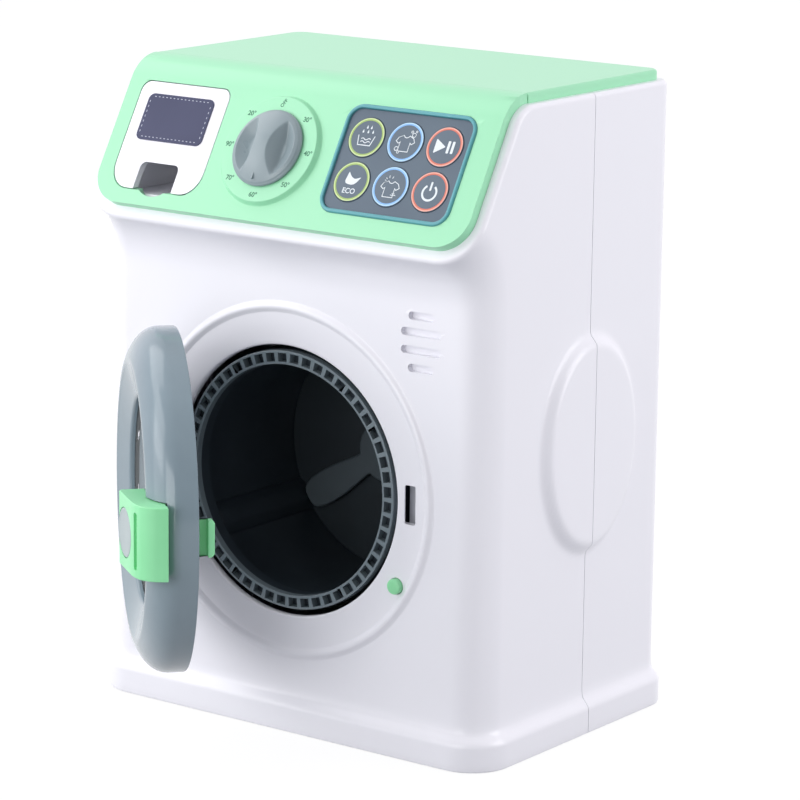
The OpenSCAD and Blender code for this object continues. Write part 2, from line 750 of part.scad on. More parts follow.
module key_start_pause() { key(1, 1); }
module key_leaf() { key(-1, 0); }
module key_shirt() { key(0, 0); }
module key_power() { key(1, 0); }

// Dial: a disc with a bar left between two scoops
knob_gap = 0.3;
scoop_r = 30;
bar_half = 4.2;
scoop_floor = 1.6;
module dial_knob() {
    color("#8e9aa0") on_slope(dial_u, dial_v, face_c + disc_h + knob_gap) {
        difference() {
            rotate_extrude() polygon([[0, 0], [knob_r, 0], [knob_r, knob_h - 2.6],
                [knob_r - 0.7, knob_h - 1.8], [knob_r - 4, knob_h - 0.9], [knob_r - 9, knob_h - 0.2],
                [0, knob_h]]);
            for (side = [-1, 1]) intersection() {
                translate([side * (bar_half + scoop_r), 0, scoop_floor])
                    cylinder(r1 = scoop_r - 0.6, r2 = scoop_r + 1.6, h = knob_h);
                translate([0, 0, scoop_floor]) cylinder(r1 = knob_r - 3.4, r2 = knob_r - 1.4, h = knob_h);
            }
        }
        translate([0, 0, -disc_h - knob_gap - fascia_t - 9])
            cylinder(d = knob_shaft_d, h = disc_h + knob_gap + fascia_t + 9 + e);
    }
}
module dial_switch() {
    color("#3c4046") on_slope(dial_u, dial_v, shell_c - 11) difference() {
        union() {
            translate([-14, -14, 0]) cube([28, 28, 8]);
            translate([0, 0, 8 - e]) cylinder(r = 9, h = 3 + e);
        }
        translate([0, 0, -1]) cylinder(d = knob_shaft_d + 2 * run_fit, h = 14);
    }
}

module drawer() {
    color("#f2f4f8") union() {
        difference() {
            intersection() {
                facing(0, back_y, 0) linear_extrude(2 * body_d) drawer_outline(0);
                on_slope(-body_w, 0, face_c - drawer_t) cube([2 * body_w, 2 * body_h, drawer_t]);
            }
            facing(drawer_x, back_y, drawer_z0 + (notch_z - drawer_z0 - 20) / 2) linear_extrude(2 * body_d)
                rounded_bar(notch_w, notch_z - drawer_z0 + 20, 2.4);
        }
        difference() {
            intersection() {
                translate([drawer_x - tray_half, front_y - 20, tray_z0])
                    cube([2 * tray_half, tray_back - front_y + 20, tray_z1 - tray_z0]);
                behind_slope(face_c - 1.5);
            }
            intersection() {
                translate([drawer_x - tray_half + tray_wall, front_y - 20, tray_z0 + tray_wall])
                    cube([2 * (tray_half - tray_wall), tray_back - front_y + 20 - tray_wall, 60]);
                behind_slope(face_c - drawer_t);
            }
        }
    }
}
module drawer_label() {
    color("#50507c") on_slope(drawer_x - 0.4, label_v, face_c) linear_extrude(label_t)
        rounded_bar(label_w, label_l, 2.5);
}
module drawer_housing() {
    color("#e4e6ec") difference() {
        intersection() {
            translate([drawer_x - housing_half, front_y - 20, housing_z0])
                cube([2 * housing_half, housing_back - front_y + 20, tray_z1 + 1 - housing_z0]);
            behind_slope(shell_c - 0.05);
        }
        // room for the tray, and the finger space under it between the two runners
        translate([drawer_x - tray_half - 0.4, front_y - 20, tray_z0 - 0.3])
            cube([2 * tray_half + 0.8, housing_back - front_y + 18.2, 60]);
        translate([drawer_x - tray_half + 3, front_y - 20, housing_z0 + 1.8])
            cube([2 * tray_half - 6, housing_back - front_y + 18.2, 60]);
    }
}

// Drum, shaft and gear turn together
window_size = 3.4;
module drum_ring() {
    mid_r = (drum_r + 0.5 + ring_inner_r) / 2;
    color("#6f7a7b") facing(0, drum_front, door_z) difference() {
        union() {
            translate([0, 0, -ring_t]) cylinder(r = drum_r + 0.5, h = ring_t);
            translate([0, 0, -ring_t - 5]) cylinder(r = drum_r - barrel_wall - 0.05, h = 5 + e);
        }
        translate([0, 0, -ring_t - 6]) cylinder(r = ring_inner_r, h = ring_t + 8);
        for (i = [0:drum_windows - 1]) rotate([0, 0, 360 * i / drum_windows])
            translate([mid_r - window_size / 2, -window_size / 2, -1.6]) cube([window_size, window_size, 3]);
    }
}
module drum_barrel() {
    color("#1f2429") union() {
        facing(0, barrel_back, door_z) difference() {
            cylinder(r = drum_r, h = barrel_back - barrel_front);
            translate([0, 0, barrel_wall + 0.5]) cylinder(r = drum_r - barrel_wall, h = drum_l);
            translate([0, 0, -1]) cylinder(d = drum_shaft_d, h = 10);
        }
        facing(0, barrel_back + hub_l, door_z) tube(drum_shaft_d / 2 + 4, drum_shaft_d / 2, hub_l + e);
    }
}
module drum_paddles() {
    inner_r = drum_r - barrel_wall;
    color("#3a4248") facing(0, barrel_back - barrel_wall - 0.5, door_z)
        for (i = [0:paddles - 1]) rotate([0, 0, 360 * i / paddles - 30]) intersection() {
            translate([0, 0, 0]) cylinder(r = inner_r - 0.02, h = drum_l - 12);
            linear_extrude(drum_l - 12) polygon([[inner_r + 5, -9], [inner_r - 3, -6.5],
                [inner_r - paddle_h + 2, -3.2], [inner_r - paddle_h, -1.8], [inner_r - paddle_h, 1.8],
                [inner_r - paddle_h + 2, 3.2], [inner_r - 3, 6.5], [inner_r + 5, 9]]);
        }
}
shaft_end = plate_y + plate_t + 4;
module drum_shaft() {
    color("#c4c8cc") facing(0, shaft_end, door_z)
        cylinder(d = drum_shaft_d, h = shaft_end - barrel_back + 2.4);
}
module drum_gear() {
    color("#e8e4d4") facing(0, gear_y + gear_t, door_z) union() {
        rotate([0, 0, drive_turn]) gear(drum_teeth, drum_shaft_d / 2, gear_t);
        translate([0, 0, -0.8]) tube(drum_shaft_d / 2 + 4, drum_shaft_d / 2, gear_t + 1.6);
    }
}
module drum_carrier() {
    color("#d8dbe2") facing(0, carrier_y + carrier_t, door_z) difference() {
        union() {
            linear_extrude(carrier_t) rounded_bar(2 * post_x + 12, 2 * post_dz + 14, 12);
            cylinder(r = bush_r + 5, h = carrier_t);
        }
        translate([0, 0, -1]) cylinder(r = bush_r + 0.02, h = carrier_t + 2);
        for (x = [-post_x, post_x]) for (y = [-post_dz, post_dz]) translate([x, y, -1])
            cylinder(d = screw_d + 0.4, h = carrier_t + 2);
        for (side = [-1, 1]) translate([side * 56, 0, -1]) linear_extrude(carrier_t + 2)
            rounded_bar(18, 60, 6);
    }
}
module carrier_screws() {
    color("#9ea2a8") at_posts() facing(0, carrier_y + carrier_t, 0) {
        translate([0, 0, -2]) cylinder(r = screw_d, h = 2);
        cylinder(d = screw_d, h = carrier_t + 11);
    }
}
module drum_bushes() {
    module bush(y, t) {
        facing(0, y + t + 0.8, door_z) difference() {
            union() {
                cylinder(r = bush_r, h = t + 1.2);
                cylinder(r = bush_r + 2, h = 0.8);
            }
            translate([0, 0, -1]) cylinder(d = drum_shaft_d + 2 * run_fit, h = t + 4);
        }
    }
    color("#c9a25a") {
        bush(carrier_y, carrier_t);
        bush(plate_y, plate_t);
    }
}
module at_gearbox_posts() {
    for (a = post_turns) rotate([0, 0, a]) translate([post_reach, 0, 0]) children();
    rotate([0, 0, drive_turn]) translate([far_post_reach, 0, 0]) children();
}
module gearbox_plate() {
    color("#d8dbe2") facing(0, plate_y + plate_t, door_z) difference() {
        union() {
            cylinder(r = post_reach + 5, h = plate_t);
            translate([motor_x, motor_z - door_z, 0]) cylinder(r = motor_r + 9.5, h = plate_t);
        }
        translate([0, 0, -1]) cylinder(r = bush_r + 0.02, h = plate_t + 2);
        translate([motor_x, motor_z - door_z, -1]) cylinder(r = 3.2, h = plate_t + 2);
        translate([0, 0, -1]) at_gearbox_posts() cylinder(d = screw_d + 0.4, h = plate_t + 2);
    }
}
module gearbox_posts() {
    color("#b9bdc4") facing(0, plate_y, door_z) at_gearbox_posts()
        tube(3.5, screw_d / 2 + 0.02, plate_y - carrier_y - carrier_t);
}
module gearbox_screws() {
    color("#9ea2a8") facing(0, plate_y + plate_t, door_z) at_gearbox_posts() {
        translate([0, 0, -2]) cylinder(r = screw_d, h = 2);
        cylinder(d = screw_d, h = plate_t + 8);
    }
}
module motor() {
    color("#b4b8bd") facing(motor_x, plate_y + plate_t + motor_l, motor_z) difference() {
        union() {
            cylinder(r = motor_r, h = motor_l);
            translate([0, 0, motor_l - e]) cylinder(r = 3, h = 2);
            translate([0, 0, -1.5]) cylinder(r = 4, h = 1.5 + e);
        }
        translate([0, 0, 3]) cylinder(d = motor_shaft_d + 2 * run_fit, h = motor_l + 4);
    }
}
module motor_shaft() {
    color("#c4c8cc") facing(motor_x, plate_y + plate_t + motor_l - 3.5, motor_z)
        cylinder(d = motor_shaft_d, h = motor_l + plate_t + plate_y - gear_y - 3.5 + 0.5);
}
module motor_pinion() {
    color("#d9b64e") facing(motor_x, gear_y + gear_t + 0.5, motor_z)
        rotate([0, 0, drive_turn + 180 + 180 / pinion_teeth])
            gear(pinion_teeth, motor_shaft_d / 2, gear_t + 1);
}

// Speaker behind the vents
grille_t = 1.8;
module speaker_grille() {
    color("#e6e8ee") facing(vent_x, front_y + wall + grille_t, vent_z) difference() {
        union() {
            cylinder(r = speaker_r + 1.6, h = grille_t);
            translate([0, 0, -5]) tube(speaker_r + 1.6, speaker_r + 0.1, 5 + e);
        }
        for (v = vents) translate([-v[1] + 2.2, v[0], -1]) cylinder(r = 1.3, h = grille_t + 2);
    }
}
speaker_y = front_y + wall + grille_t;
module speaker_basket() {
    color("#8d9196") facing(vent_x, speaker_y, vent_z) rotate_extrude() polygon([
        [speaker_r, 0], [speaker_r, -1.2], [speaker_r - 2.4, -1.2], [8, -8.2], [8, -9.2], [2, -9.2],
        [2, -8.2], [7.2, -8.2], [speaker_r - 3.2, -1.2], [speaker_r - 2.2, 0]]);
}
module speaker_cone() {
    color("#33373b") facing(vent_x, speaker_y, vent_z) rotate_extrude() polygon([
        [speaker_r - 3, -0.3], [speaker_r - 3.6, -1], [6, -6.2], [0, -4.2], [0, -5], [6, -7.1],
        [speaker_r - 3.7, -1.3], [speaker_r - 3, -0.6]]);
}
module speaker_magnet() {
    color("#55595e") facing(vent_x, speaker_y + 13.2, vent_z) cylinder(r = 8, h = 4);
}

// Boards and batteries
board_y = back_y - 14;
board_t = 1.6;
board_posts = [[-66, 154], [-10, 154], [-66, 212], [-10, 212]];
module main_board() {
    color("#2f6b4a") union() {
        translate([-72, board_y, 148]) cube([68, board_t, 70]);
        translate([-52, board_y - 2, 176]) cube([18, 2 + e, 18]);
        translate([-26, board_y - 5, 160]) cube([8, 5 + e, 14]);
        translate([-26, board_y - 3, 196]) cube([12, 3 + e, 8]);
        facing(-60, board_y + e, 166) cylinder(r = 4, h = 9);
    }
}
module battery_box() {
    color("#33363a") difference() {
        union() {
            difference() {
                translate([-box_half - 2, back_y - wall - box_d, box_z0 - 2])
                    cube([2 * box_half + 4, box_d, box_h + 4]);
                translate([-box_half, back_y - wall - box_d + 2, box_z0])
                    cube([2 * box_half, box_d, box_h]);
            }
            facing(0, back_y - cover_t - 0.2, cover_screw_z) cylinder(r = 3, h = box_d - 1.8);
        }
        facing(0, back_y, cover_screw_z) cylinder(d = screw_d + 0.04, h = 14);
    }
}
cell_y = back_y - wall - box_d + 2 + cell_d / 2 + 0.2;
function cell_z(i) = box_z0 + 2 + cell_pitch * (i + 0.5);
module batteries() {
    color("#8a8f3c") for (i = [0:cells - 1]) translate([0, cell_y, cell_z(i)])
        rotate([0, i % 2 == 0 ? 90 : -90, 0]) {
            translate([0, 0, -cell_l / 2]) cylinder(d = cell_d, h = cell_l - 1.2);
            translate([0, 0, cell_l / 2 - 1.2 - e]) cylinder(r = 2.7, h = 1.2);
        }
}
module battery_contacts() {
    plate_x = box_half - 0.5;
    color("#c4c8cc") for (i = [0:cells - 1]) translate([0, cell_y, cell_z(i)])
        rotate([0, i % 2 == 0 ? 90 : -90, 0]) {
            translate([-6, -6, plate_x - 0.05]) cube([12, 12, 0.5]);
            translate([0, 0, cell_l / 2 + 0.1]) cylinder(r = 2, h = plate_x - cell_l / 2 - 0.1);
            translate([-6, -6, -plate_x - 0.45]) cube([12, 12, 0.5]);
            translate([0, 0, -plate_x]) coil(4, 0.5, plate_x - cell_l / 2 - 0.1, 3);
        }
}
module battery_cover() {
    color("#e9ebf2") difference() {
        translate([-box_half + 0.3, back_y - cover_t, box_z0 + 0.3])
            cube([2 * box_half - 0.6, cover_t, box_h - 0.6]);
        facing(0, back_y + 1, cover_screw_z) cylinder(d = screw_d + 0.4, h = 5);
        facing(0, back_y + 1, cover_screw_z) cylinder(r = screw_d + 0.2, h = 2.2);
    }
}
module battery_cover_screw() {
    color("#9ea2a8") facing(0, back_y - 1.2, cover_screw_z) {
        translate([0, 0, -1]) cylinder(r = screw_d, h = 1);
        cylinder(d = screw_d, h = 10);
    }
}

// Door, drawn shut and then swung open to its resting place
function dome(grow) = [for (a = [0:7.5:dome_end])
    [door_r - dome_r + (dome_r + grow) * cos(a), rim_flat + (dome_h + grow) * sin(a)]];
module door_ring() {
    color("#8e9ca4") door_stand() difference() {
        union() {
            difference() {
                on_door() rotate_extrude($fn = 128) polygon(concat(
                    [[door_r, door_gap]], dome(0),
                    [[crest_r + 1.2, crest_h - 0.1], [crest_r, crest_h], [crest_r - 1.2, crest_h - 0.35],
                     [door_hole_r + 0.8, funnel_h + 0.15], [door_hole_r, funnel_h - 0.5],
                     [door_hole_r, hole_lip_h], [crest_r - 9, hole_lip_h]],
                    [for (i = [8:-1:0]) dome(-ring_wall)[i]],
                    [[door_r - ring_wall, door_gap]]));
                // notch that clears the hinge ears
                on_door(-door_r - 6, -notch_half, -1)
                    cube([6 + knuckle_r + 0.6, 2 * notch_half, hinge_out + knuckle_r + 1.5]);
                // opening that the handle fills
                on_door(44, -handle_pocket_half, rim_flat + 3.2) cube([40, 2 * handle_pocket_half, 20]);
            }
            // knuckle and the web that carries it
            on_door(hinge_x, -knuckle_half, hinge_out) rotate([-90, 0, 0])
                cylinder(r = knuckle_r, h = 2 * knuckle_half);
            on_door(hinge_x, -knuckle_half, hinge_out - 2) cube([7, 2 * knuckle_half, 4]);
            on_door(hinge_x + 3.2, -knuckle_half, hinge_out - 2) cube([3, 2 * knuckle_half, 11]);
            // screw bosses
            at_door_screws() translate([0, 0, door_gap + back_t])
                cylinder(r = 2.8, h = rim_flat + 9 - door_gap - back_t);
        }
        on_door(hinge_x, -20, hinge_out) rotate([-90, 0, 0]) cylinder(d = hinge_pin_d + 2 * run_fit, h = 40);
        at_door_screws() translate([0, 0, -1]) cylinder(d = 2.2, h = 10);
    }
}
module at_door_screws() {
    for (a = [55, 125, 235, 305]) on_door() rotate([0, 0, a]) translate([56, 0, 0]) children();
}
cheek_half = 13;
cheek_in = 10.2;
module door_back() {
    color("#87959d") door_stand() difference() {
        union() {
            difference() {
                on_door(0, 0, door_gap) cylinder(r = door_r - ring_wall - 0.1, h = back_t);
                on_door(0, 0, -1) cylinder(r = door_hole_r + 0.6, h = 10);
                on_door(-door_r - 6, -notch_half, -1)
                    cube([6 + knuckle_r + 4, 2 * notch_half, 20]);
                on_door(latch_x - 6.2, -hook_half - 3, -1) cube([11, 2 * hook_half + 6, 6]);
            }
            on_door(0, 0, door_gap) tube(door_hole_r + 2.8, door_hole_r + 0.6, seat_h - door_gap);
            for (y = [cheek_in, -cheek_half]) on_door(latch_x - 3.5, y, door_gap + back_t - e)
                cube([5.6, cheek_half - cheek_in, latch_pin_h + 2.6 - door_gap - back_t]);
        }
        on_door(latch_x, -20, latch_pin_h) rotate([-90, 0, 0]) cylinder(d = latch_pin_d + 0.02, h = 40);
        at_door_screws() translate([0, 0, -1]) cylinder(d = 2.6, h = 10);
        at_door_screws() translate([0, 0, -1]) cylinder(r = 2.3, h = 1 + door_gap + 1);
    }
}
module door_window() {
    rim = door_hole_r + 2.7;
    bowl = (door_hole_r - 1.5) * (door_hole_r - 1.5) / 2 / window_dip + window_dip / 2;
    reach = asin((door_hole_r - 1.5) / bowl);
    dish = [for (i = [0:10]) let (a = reach * i / 10)
        [bowl * sin(a), seat_h + 0.05 + bowl - window_dip - bowl * cos(a)]];
    color([0.85, 0.9, 0.92, 0.35]) door_stand() on_door() rotate_extrude() polygon(concat(dish,
        [[rim, seat_h + 0.05], [rim, seat_h + window_t], [door_hole_r - 2.2, seat_h + window_t]],
        [for (i = [9:-1:0]) dish[i] + [0, window_t]]));
}
module door_screws() {
    color("#9ea2a8") door_stand() at_door_screws() translate([0, 0, door_gap + 0.2]) {
        cylinder(r = 2.2, h = 0.8);
        cylinder(d = 2.2, h = 7);
    }
}
module hinge_pin() {
    half = knuckle_half + ear_gap + ear_t;
    color("#c4c8cc") translate([hinge_x, hinge_y, door_z - half]) cylinder(d = hinge_pin_d, h = 2 * half);
}

// Latch: handle outside, hook inside, one lever on a pin
module latch_handle() {
    color("#8fe3a8") door_stand() difference() {
        union() {
            on_door(0, -handle_h / 2, 0) rotate([90, 0, 0]) mirror([0, 0, 1]) linear_extrude(handle_h)
                polygon(handle_side);
            on_door(latch_x - 3.6, -hook_half, 0.2) cube([6.2, 2 * hook_half, 12.4]);
            on_door(latch_x - 1.2, -hook_half, -hook_reach + 0.8) cube([3.6, 2 * hook_half, hook_reach + 4]);
            on_door(latch_x - 0.6, -hook_half + 0.8, -hook_reach) cube([2.4, 2 * hook_half - 1.6, 2]);
            on_door(latch_x, -cheek_in + 0.4, latch_pin_h) rotate([-90, 0, 0])
                cylinder(r = 3, h = 2 * cheek_in - 0.8);
        }
        on_door(latch_x, -20, latch_pin_h) rotate([-90, 0, 0])
            cylinder(d = latch_pin_d + 2 * run_fit, h = 40);
        // groove along the outer side and seat for the badge
        on_door(66.9, -11.4, 22.2) cube([6, 22.8, 1.3]);
        on_door(badge_x, 0, 0) rotate([0, handle_lean, 0]) translate([0, 0, handle_top - 0.6])
            cylinder(r = 9.6, h = 6);
    }
}
handle_lean = 4;
badge_x = 51.4;
handle_top = 26.35;
handle_side = [[62.4, 11.3], [66.9, 11.3], [67.8, 14], [68.2, 17.5], [68, 20.5], [67.3, 22.8],
    [66.2, 24.3], [64.4, 25.3], [62, 25.6], [42.5, 26.95], [40.2, 26.7], [38.7, 25.6], [38, 23.6],
    [38.2, 17.6], [45.4, 17.6], [46.4, 12.4], [56.4, 11.3]];
module latch_badge() {
    color("#9aa6ad") door_stand() on_door(badge_x, 0, 0) rotate([0, handle_lean, 0])
        translate([0, 0, handle_top - 0.55]) cylinder(r1 = 9.4, r2 = 9, h = 0.65);
}
module latch_pin() {
    color("#c4c8cc") door_stand() on_door(latch_x, -cheek_half, latch_pin_h) rotate([-90, 0, 0])
        cylinder(d = latch_pin_d, h = 2 * cheek_half);
}
module latch_spring() {
    low = door_gap + back_t + 0.05;
    color("#c4c8cc") door_stand() on_door(50, 0, low) coil(2.6, 0.35, 11.6 - low - 0.3, 6);
}
module latch_catch() {
    y0 = front_y + wall;
    color("#b8bcc4") translate([0, 0, door_z]) difference() {
        union() {
            translate([slot_x0 - 1.7, y0 + 4.3, -slot_half - 2.6]) cube([10.4, 1.5, 2 * slot_half + 5.2]);
            translate([slot_x1 + 1, y0, -slot_half - 2.6]) cube([1.5, 5.8, 2 * slot_half + 5.2]);
            for (z = [-slot_half - 2.6, slot_half + 1])
                translate([slot_x0 + 1, y0, z]) cube([slot_x1 - slot_x0 + 1.5, 5.8, 1.6]);
        }
    }
}

// Door switch: peg, spring and the holder behind the panel
holder_y = front_y + 10;
holder_t = 2.4;
module door_switch_peg() {
    color("#84d69c") facing(peg_x, front_y + 4, peg_z) union() {
        cylinder(r = peg_r + 1.3, h = 4 - wall - loose);
        cylinder(r = peg_r, h = 4 + peg_out - 0.6);
        translate([0, 0, 4 + peg_out - 0.6 - e]) cylinder(r1 = peg_r, r2 = peg_r - 0.8, h = 0.6 + e);
        translate([0, 0, -9]) cylinder(r = 1.8, h = 9 + e);
    }
}
module peg_spring() {
    color("#c4c8cc") facing(peg_x, holder_y - 0.05, peg_z) coil(3, 0.3, holder_y - front_y - 4 - 0.1, 4);
}
module peg_holder() {
    color("#d8dbe2") facing(peg_x, holder_y + holder_t, peg_z) rotate([0, 0, peg_turn]) difference() {
        union() {
            translate([-3.2, -10, 0]) cube([6.4, 20, holder_t]);
            for (s = [-1, 1]) translate([-3.2, s * 8.9 - 1.1, 0])
                cube([6.4, 2.2, holder_y + holder_t - front_y - wall]);
        }
        translate([0, 0, -1]) cylinder(r = 1.8 + 2 * run_fit, h = 6);
    }
}

front_shell();
rear_shell();
control_fascia();
top_cover();
shell_screws();
keypad_frame();
keypad_panel();
keypad_board();
key_soak();
key_bubbles();
key_start_pause();
key_leaf();
key_shirt();
key_power();
dial_knob();
dial_switch();
drawer();
drawer_label();
drawer_housing();
drum_barrel();
drum_ring();
drum_paddles();
drum_shaft();
drum_gear();
drum_carrier();
drum_bushes();
carrier_screws();
gearbox_plate();
gearbox_posts();
gearbox_screws();
motor();
motor_shaft();
motor_pinion();
speaker_grille();
speaker_basket();
speaker_cone();
speaker_magnet();
main_board();
battery_box();
battery_contacts();
batteries();
battery_cover();
battery_cover_screw();
door_ring();
door_back();
door_window();
door_screws();
hinge_pin();
latch_handle();
latch_badge();
latch_pin();
latch_spring();
latch_catch();
door_switch_peg();
peg_spring();
peg_holder();
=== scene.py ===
import math
import bpy
from mathutils import Matrix, Vector


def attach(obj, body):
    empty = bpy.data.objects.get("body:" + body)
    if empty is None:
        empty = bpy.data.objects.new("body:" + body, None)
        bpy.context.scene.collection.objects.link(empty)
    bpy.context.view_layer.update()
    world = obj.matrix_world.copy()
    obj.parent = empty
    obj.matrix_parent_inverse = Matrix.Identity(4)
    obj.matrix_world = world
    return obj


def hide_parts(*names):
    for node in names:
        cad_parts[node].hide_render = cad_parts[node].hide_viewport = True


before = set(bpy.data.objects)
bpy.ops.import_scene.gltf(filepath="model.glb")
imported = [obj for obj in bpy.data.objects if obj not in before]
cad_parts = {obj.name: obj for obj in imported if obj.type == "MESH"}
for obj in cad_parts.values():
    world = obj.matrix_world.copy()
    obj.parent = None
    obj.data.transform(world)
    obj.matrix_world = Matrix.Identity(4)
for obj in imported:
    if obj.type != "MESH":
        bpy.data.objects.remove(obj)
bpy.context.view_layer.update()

# All sizes below are in millimetres. A finished piece is brought to metres by finishPiece.
cabinet = {
    "halfWidth": 95.0, "frontY": -63.0, "backY": 63.0, "height": 260.0, "wall": 2.5,
    "seamY": 7.0, "seamGap": 0.3, "frontRadius": 14.0, "rearRadius": 8.0,
    "shellTop": 256.0, "swellFrom": 180.0,
    "plinthOut": 3.5, "plinthHeight": 11.0, "plinthBevel": 4.0,
    "padLength": 67.0, "padHeight": 89.0, "padZ": 118.0, "padRise": 3.4, "padSlope": 5.2,
}
slope = {
    "tilt": 30.0, "lipZ": 205.5, "lipOut": 12.2, "thick": 4.0, "bendRadius": 17.7,
    "rimSide": 3.7, "rimLow": 5.0, "cornerRadius": 13.5,
}
door = {
    "z": 101.4, "openingRadius": 54.3, "radius": 66.6, "crestRadius": 53.4, "crest": 18.8,
    "hole": 40.0, "gap": 0.6, "wall": 2.4, "hingeX": -67.1, "hingeOut": 5.4, "stands": 43.2,
}

sinT, cosT = math.sin(math.radians(slope["tilt"])), math.cos(math.radians(slope["tilt"]))
faceC = slope["lipOut"] * cosT + slope["lipZ"] * sinT
edgeV = slope["lipZ"] * cosT - slope["lipOut"] * sinT
shellC = faceC - slope["thick"]
shellV = edgeV - slope["rimLow"]
bendZ = cabinet["height"] - slope["bendRadius"]
bendY = cabinet["frontY"] + (sinT * bendZ - faceC + slope["bendRadius"]) / cosT
bendV = (bendY - cabinet["frontY"]) * sinT + bendZ * cosT
fasciaHalf = cabinet["halfWidth"] - slope["rimSide"]


# ---- small tools ----
def clearSelection():
    if bpy.context.mode != "OBJECT":
        bpy.ops.object.mode_set(mode="OBJECT")
    bpy.ops.object.select_all(action="DESELECT")


def pickOnly(*pieces):
    clearSelection()
    for piece in pieces:
        piece.select_set(True)
    bpy.context.view_layer.objects.active = pieces[0]


def useModifier(piece, kind, **settings):
    pickOnly(piece)
    modifier = piece.modifiers.new(kind.title(), kind)
    for key, value in settings.items():
        setattr(modifier, key, value)
    bpy.ops.object.modifier_apply(modifier=modifier.name)
    return piece


def joinPieces(*pieces):
    pickOnly(*pieces)
    bpy.ops.object.join()
    return pieces[0]


def cutAway(piece, cutter, operation="DIFFERENCE"):
    useModifier(piece, "BOOLEAN", object=cutter, operation=operation, solver="EXACT")
    bpy.data.objects.remove(cutter)
    return piece


def moveTo(piece, matrix):
    piece.data.transform(matrix)
    return piece


def faceOutwards(piece):
    pickOnly(piece)
    bpy.ops.object.mode_set(mode="EDIT")
    bpy.ops.mesh.select_all(action="SELECT")
    bpy.ops.mesh.remove_doubles(threshold=0.0005)
    bpy.ops.mesh.normals_make_consistent(inside=False)
    bpy.ops.object.mode_set(mode="OBJECT")
    return piece


def roundEdges(piece, width, segments=3, sharper=40):
    return useModifier(piece, "BEVEL", width=width, segments=segments, limit_method="ANGLE",
                       angle_limit=math.radians(sharper), use_clamp_overlap=True)


def smoothPiece(piece, angle=32, weighted=True):
    pickOnly(piece)
    bpy.ops.object.shade_smooth_by_angle(angle=math.radians(angle))
    if weighted:
        useModifier(piece, "WEIGHTED_NORMAL", keep_sharp=True, weight=50)
    return piece


def finishPiece(piece, name, body, material, nodes=(), angle=32, weighted=True):
    smoothPiece(piece, angle, weighted)
    piece.data.transform(Matrix.Scale(0.001, 4))
    piece.name = name
    piece.data.name = name
    piece.data.materials.clear()
    piece.data.materials.append(material)
    if nodes:
        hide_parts(*nodes)
    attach(piece, body)
    return piece


def drawLine(points, closed=False):
    # one vertex pulled from point to point, as with the extrude key
    clearSelection()
    bpy.ops.mesh.primitive_plane_add(size=1, location=(0, 0, 0))
    line = bpy.context.object
    bpy.ops.object.mode_set(mode="EDIT")
    bpy.ops.mesh.select_mode(type="VERT")
    bpy.ops.mesh.select_all(action="SELECT")
    bpy.ops.mesh.merge(type="CENTER")
    places = [Vector(p) for p in points]
    bpy.ops.transform.translate(value=places[0])
    for here, there in zip(places, places[1:] + places[:1] * closed):
        bpy.ops.mesh.extrude_region_move(TRANSFORM_OT_translate={"value": there - here})
    bpy.ops.mesh.select_all(action="SELECT")
    bpy.ops.mesh.remove_doubles(threshold=0.0005)
    bpy.ops.object.mode_set(mode="OBJECT")
    return line


def extrudeOutline(points, height, low=0.0):
    plate = drawLine([(p[0], p[1], low) for p in points], closed=True)
    bpy.ops.object.mode_set(mode="EDIT")
    bpy.ops.mesh.edge_face_add()
    bpy.ops.mesh.extrude_region_move(TRANSFORM_OT_translate={"value": (0, 0, height)})
    bpy.ops.object.mode_set(mode="OBJECT")
    return faceOutwards(plate)


def spinProfile(profile, steps=96, closed=True):
    # profile points are (radius, height), spun round z
    turned = drawLine([(p[0], 0, p[1]) for p in profile], closed=closed)
    bpy.ops.object.mode_set(mode="EDIT")
    bpy.ops.mesh.select_all(action="SELECT")
    bpy.ops.mesh.spin(steps=steps, angle=2 * math.pi, center=(0, 0, 0), axis=(0, 0, 1))
    bpy.ops.object.mode_set(mode="OBJECT")
    return faceOutwards(turned)


def arcPoints(x, y, radius, start, end, steps):
    return [(x + radius * math.cos(math.radians(start + (end - start) * i / steps)),
             y + radius * math.sin(math.radians(start + (end - start) * i / steps)))
            for i in range(steps + 1)]


def roundedOutline(width, height, radius, steps=8, x=0.0, y=0.0):
    w, h = width / 2 - radius, height / 2 - radius
    return (arcPoints(x + w, y + h, radius, 0, 90, steps) + arcPoints(x - w, y + h, radius, 90, 180, steps)
            + arcPoints(x - w, y - h, radius, 180, 270, steps) + arcPoints(x + w, y - h, radius, 270, 360, steps))


def addBox(low, high):
    clearSelection()
    middle = [(a + b) / 2 for a, b in zip(low, high)]
    bpy.ops.mesh.primitive_cube_add(size=1, location=(0, 0, 0))
    box = bpy.context.object
    box.data.transform(Matrix.Translation(middle) @ Matrix.Diagonal([b - a for a, b in zip(low, high)] + [1]))
    return box


def addRound(radius, height, low=0.0, sides=64, top=None):
    clearSelection()
    bpy.ops.mesh.primitive_cone_add(vertices=sides, radius1=radius, radius2=radius if top is None else top,
                                    depth=height, location=(0, 0, 0))
    rod = bpy.context.object
    rod.data.transform(Matrix.Translation((0, 0, low + height / 2)))
    return rod


def copyNode(node):
    # a CAD node's mesh as one clean solid in millimetres, its flat faces in one piece
    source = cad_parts[node]
    clearSelection()
    piece = bpy.data.objects.new(node + "Copy", source.data.copy())
    bpy.context.collection.objects.link(piece)
    piece.data.transform(Matrix.Scale(1000, 4))
    pickOnly(piece)
    if piece.data.has_custom_normals:
        bpy.ops.mesh.customdata_custom_splitnormals_clear()
    bpy.ops.object.mode_set(mode="EDIT")
    bpy.ops.mesh.select_all(action="SELECT")
    bpy.ops.mesh.remove_doubles(threshold=0.001)
    bpy.ops.mesh.dissolve_limited(angle_limit=math.radians(0.5))
    bpy.ops.object.mode_set(mode="OBJECT")
    return piece


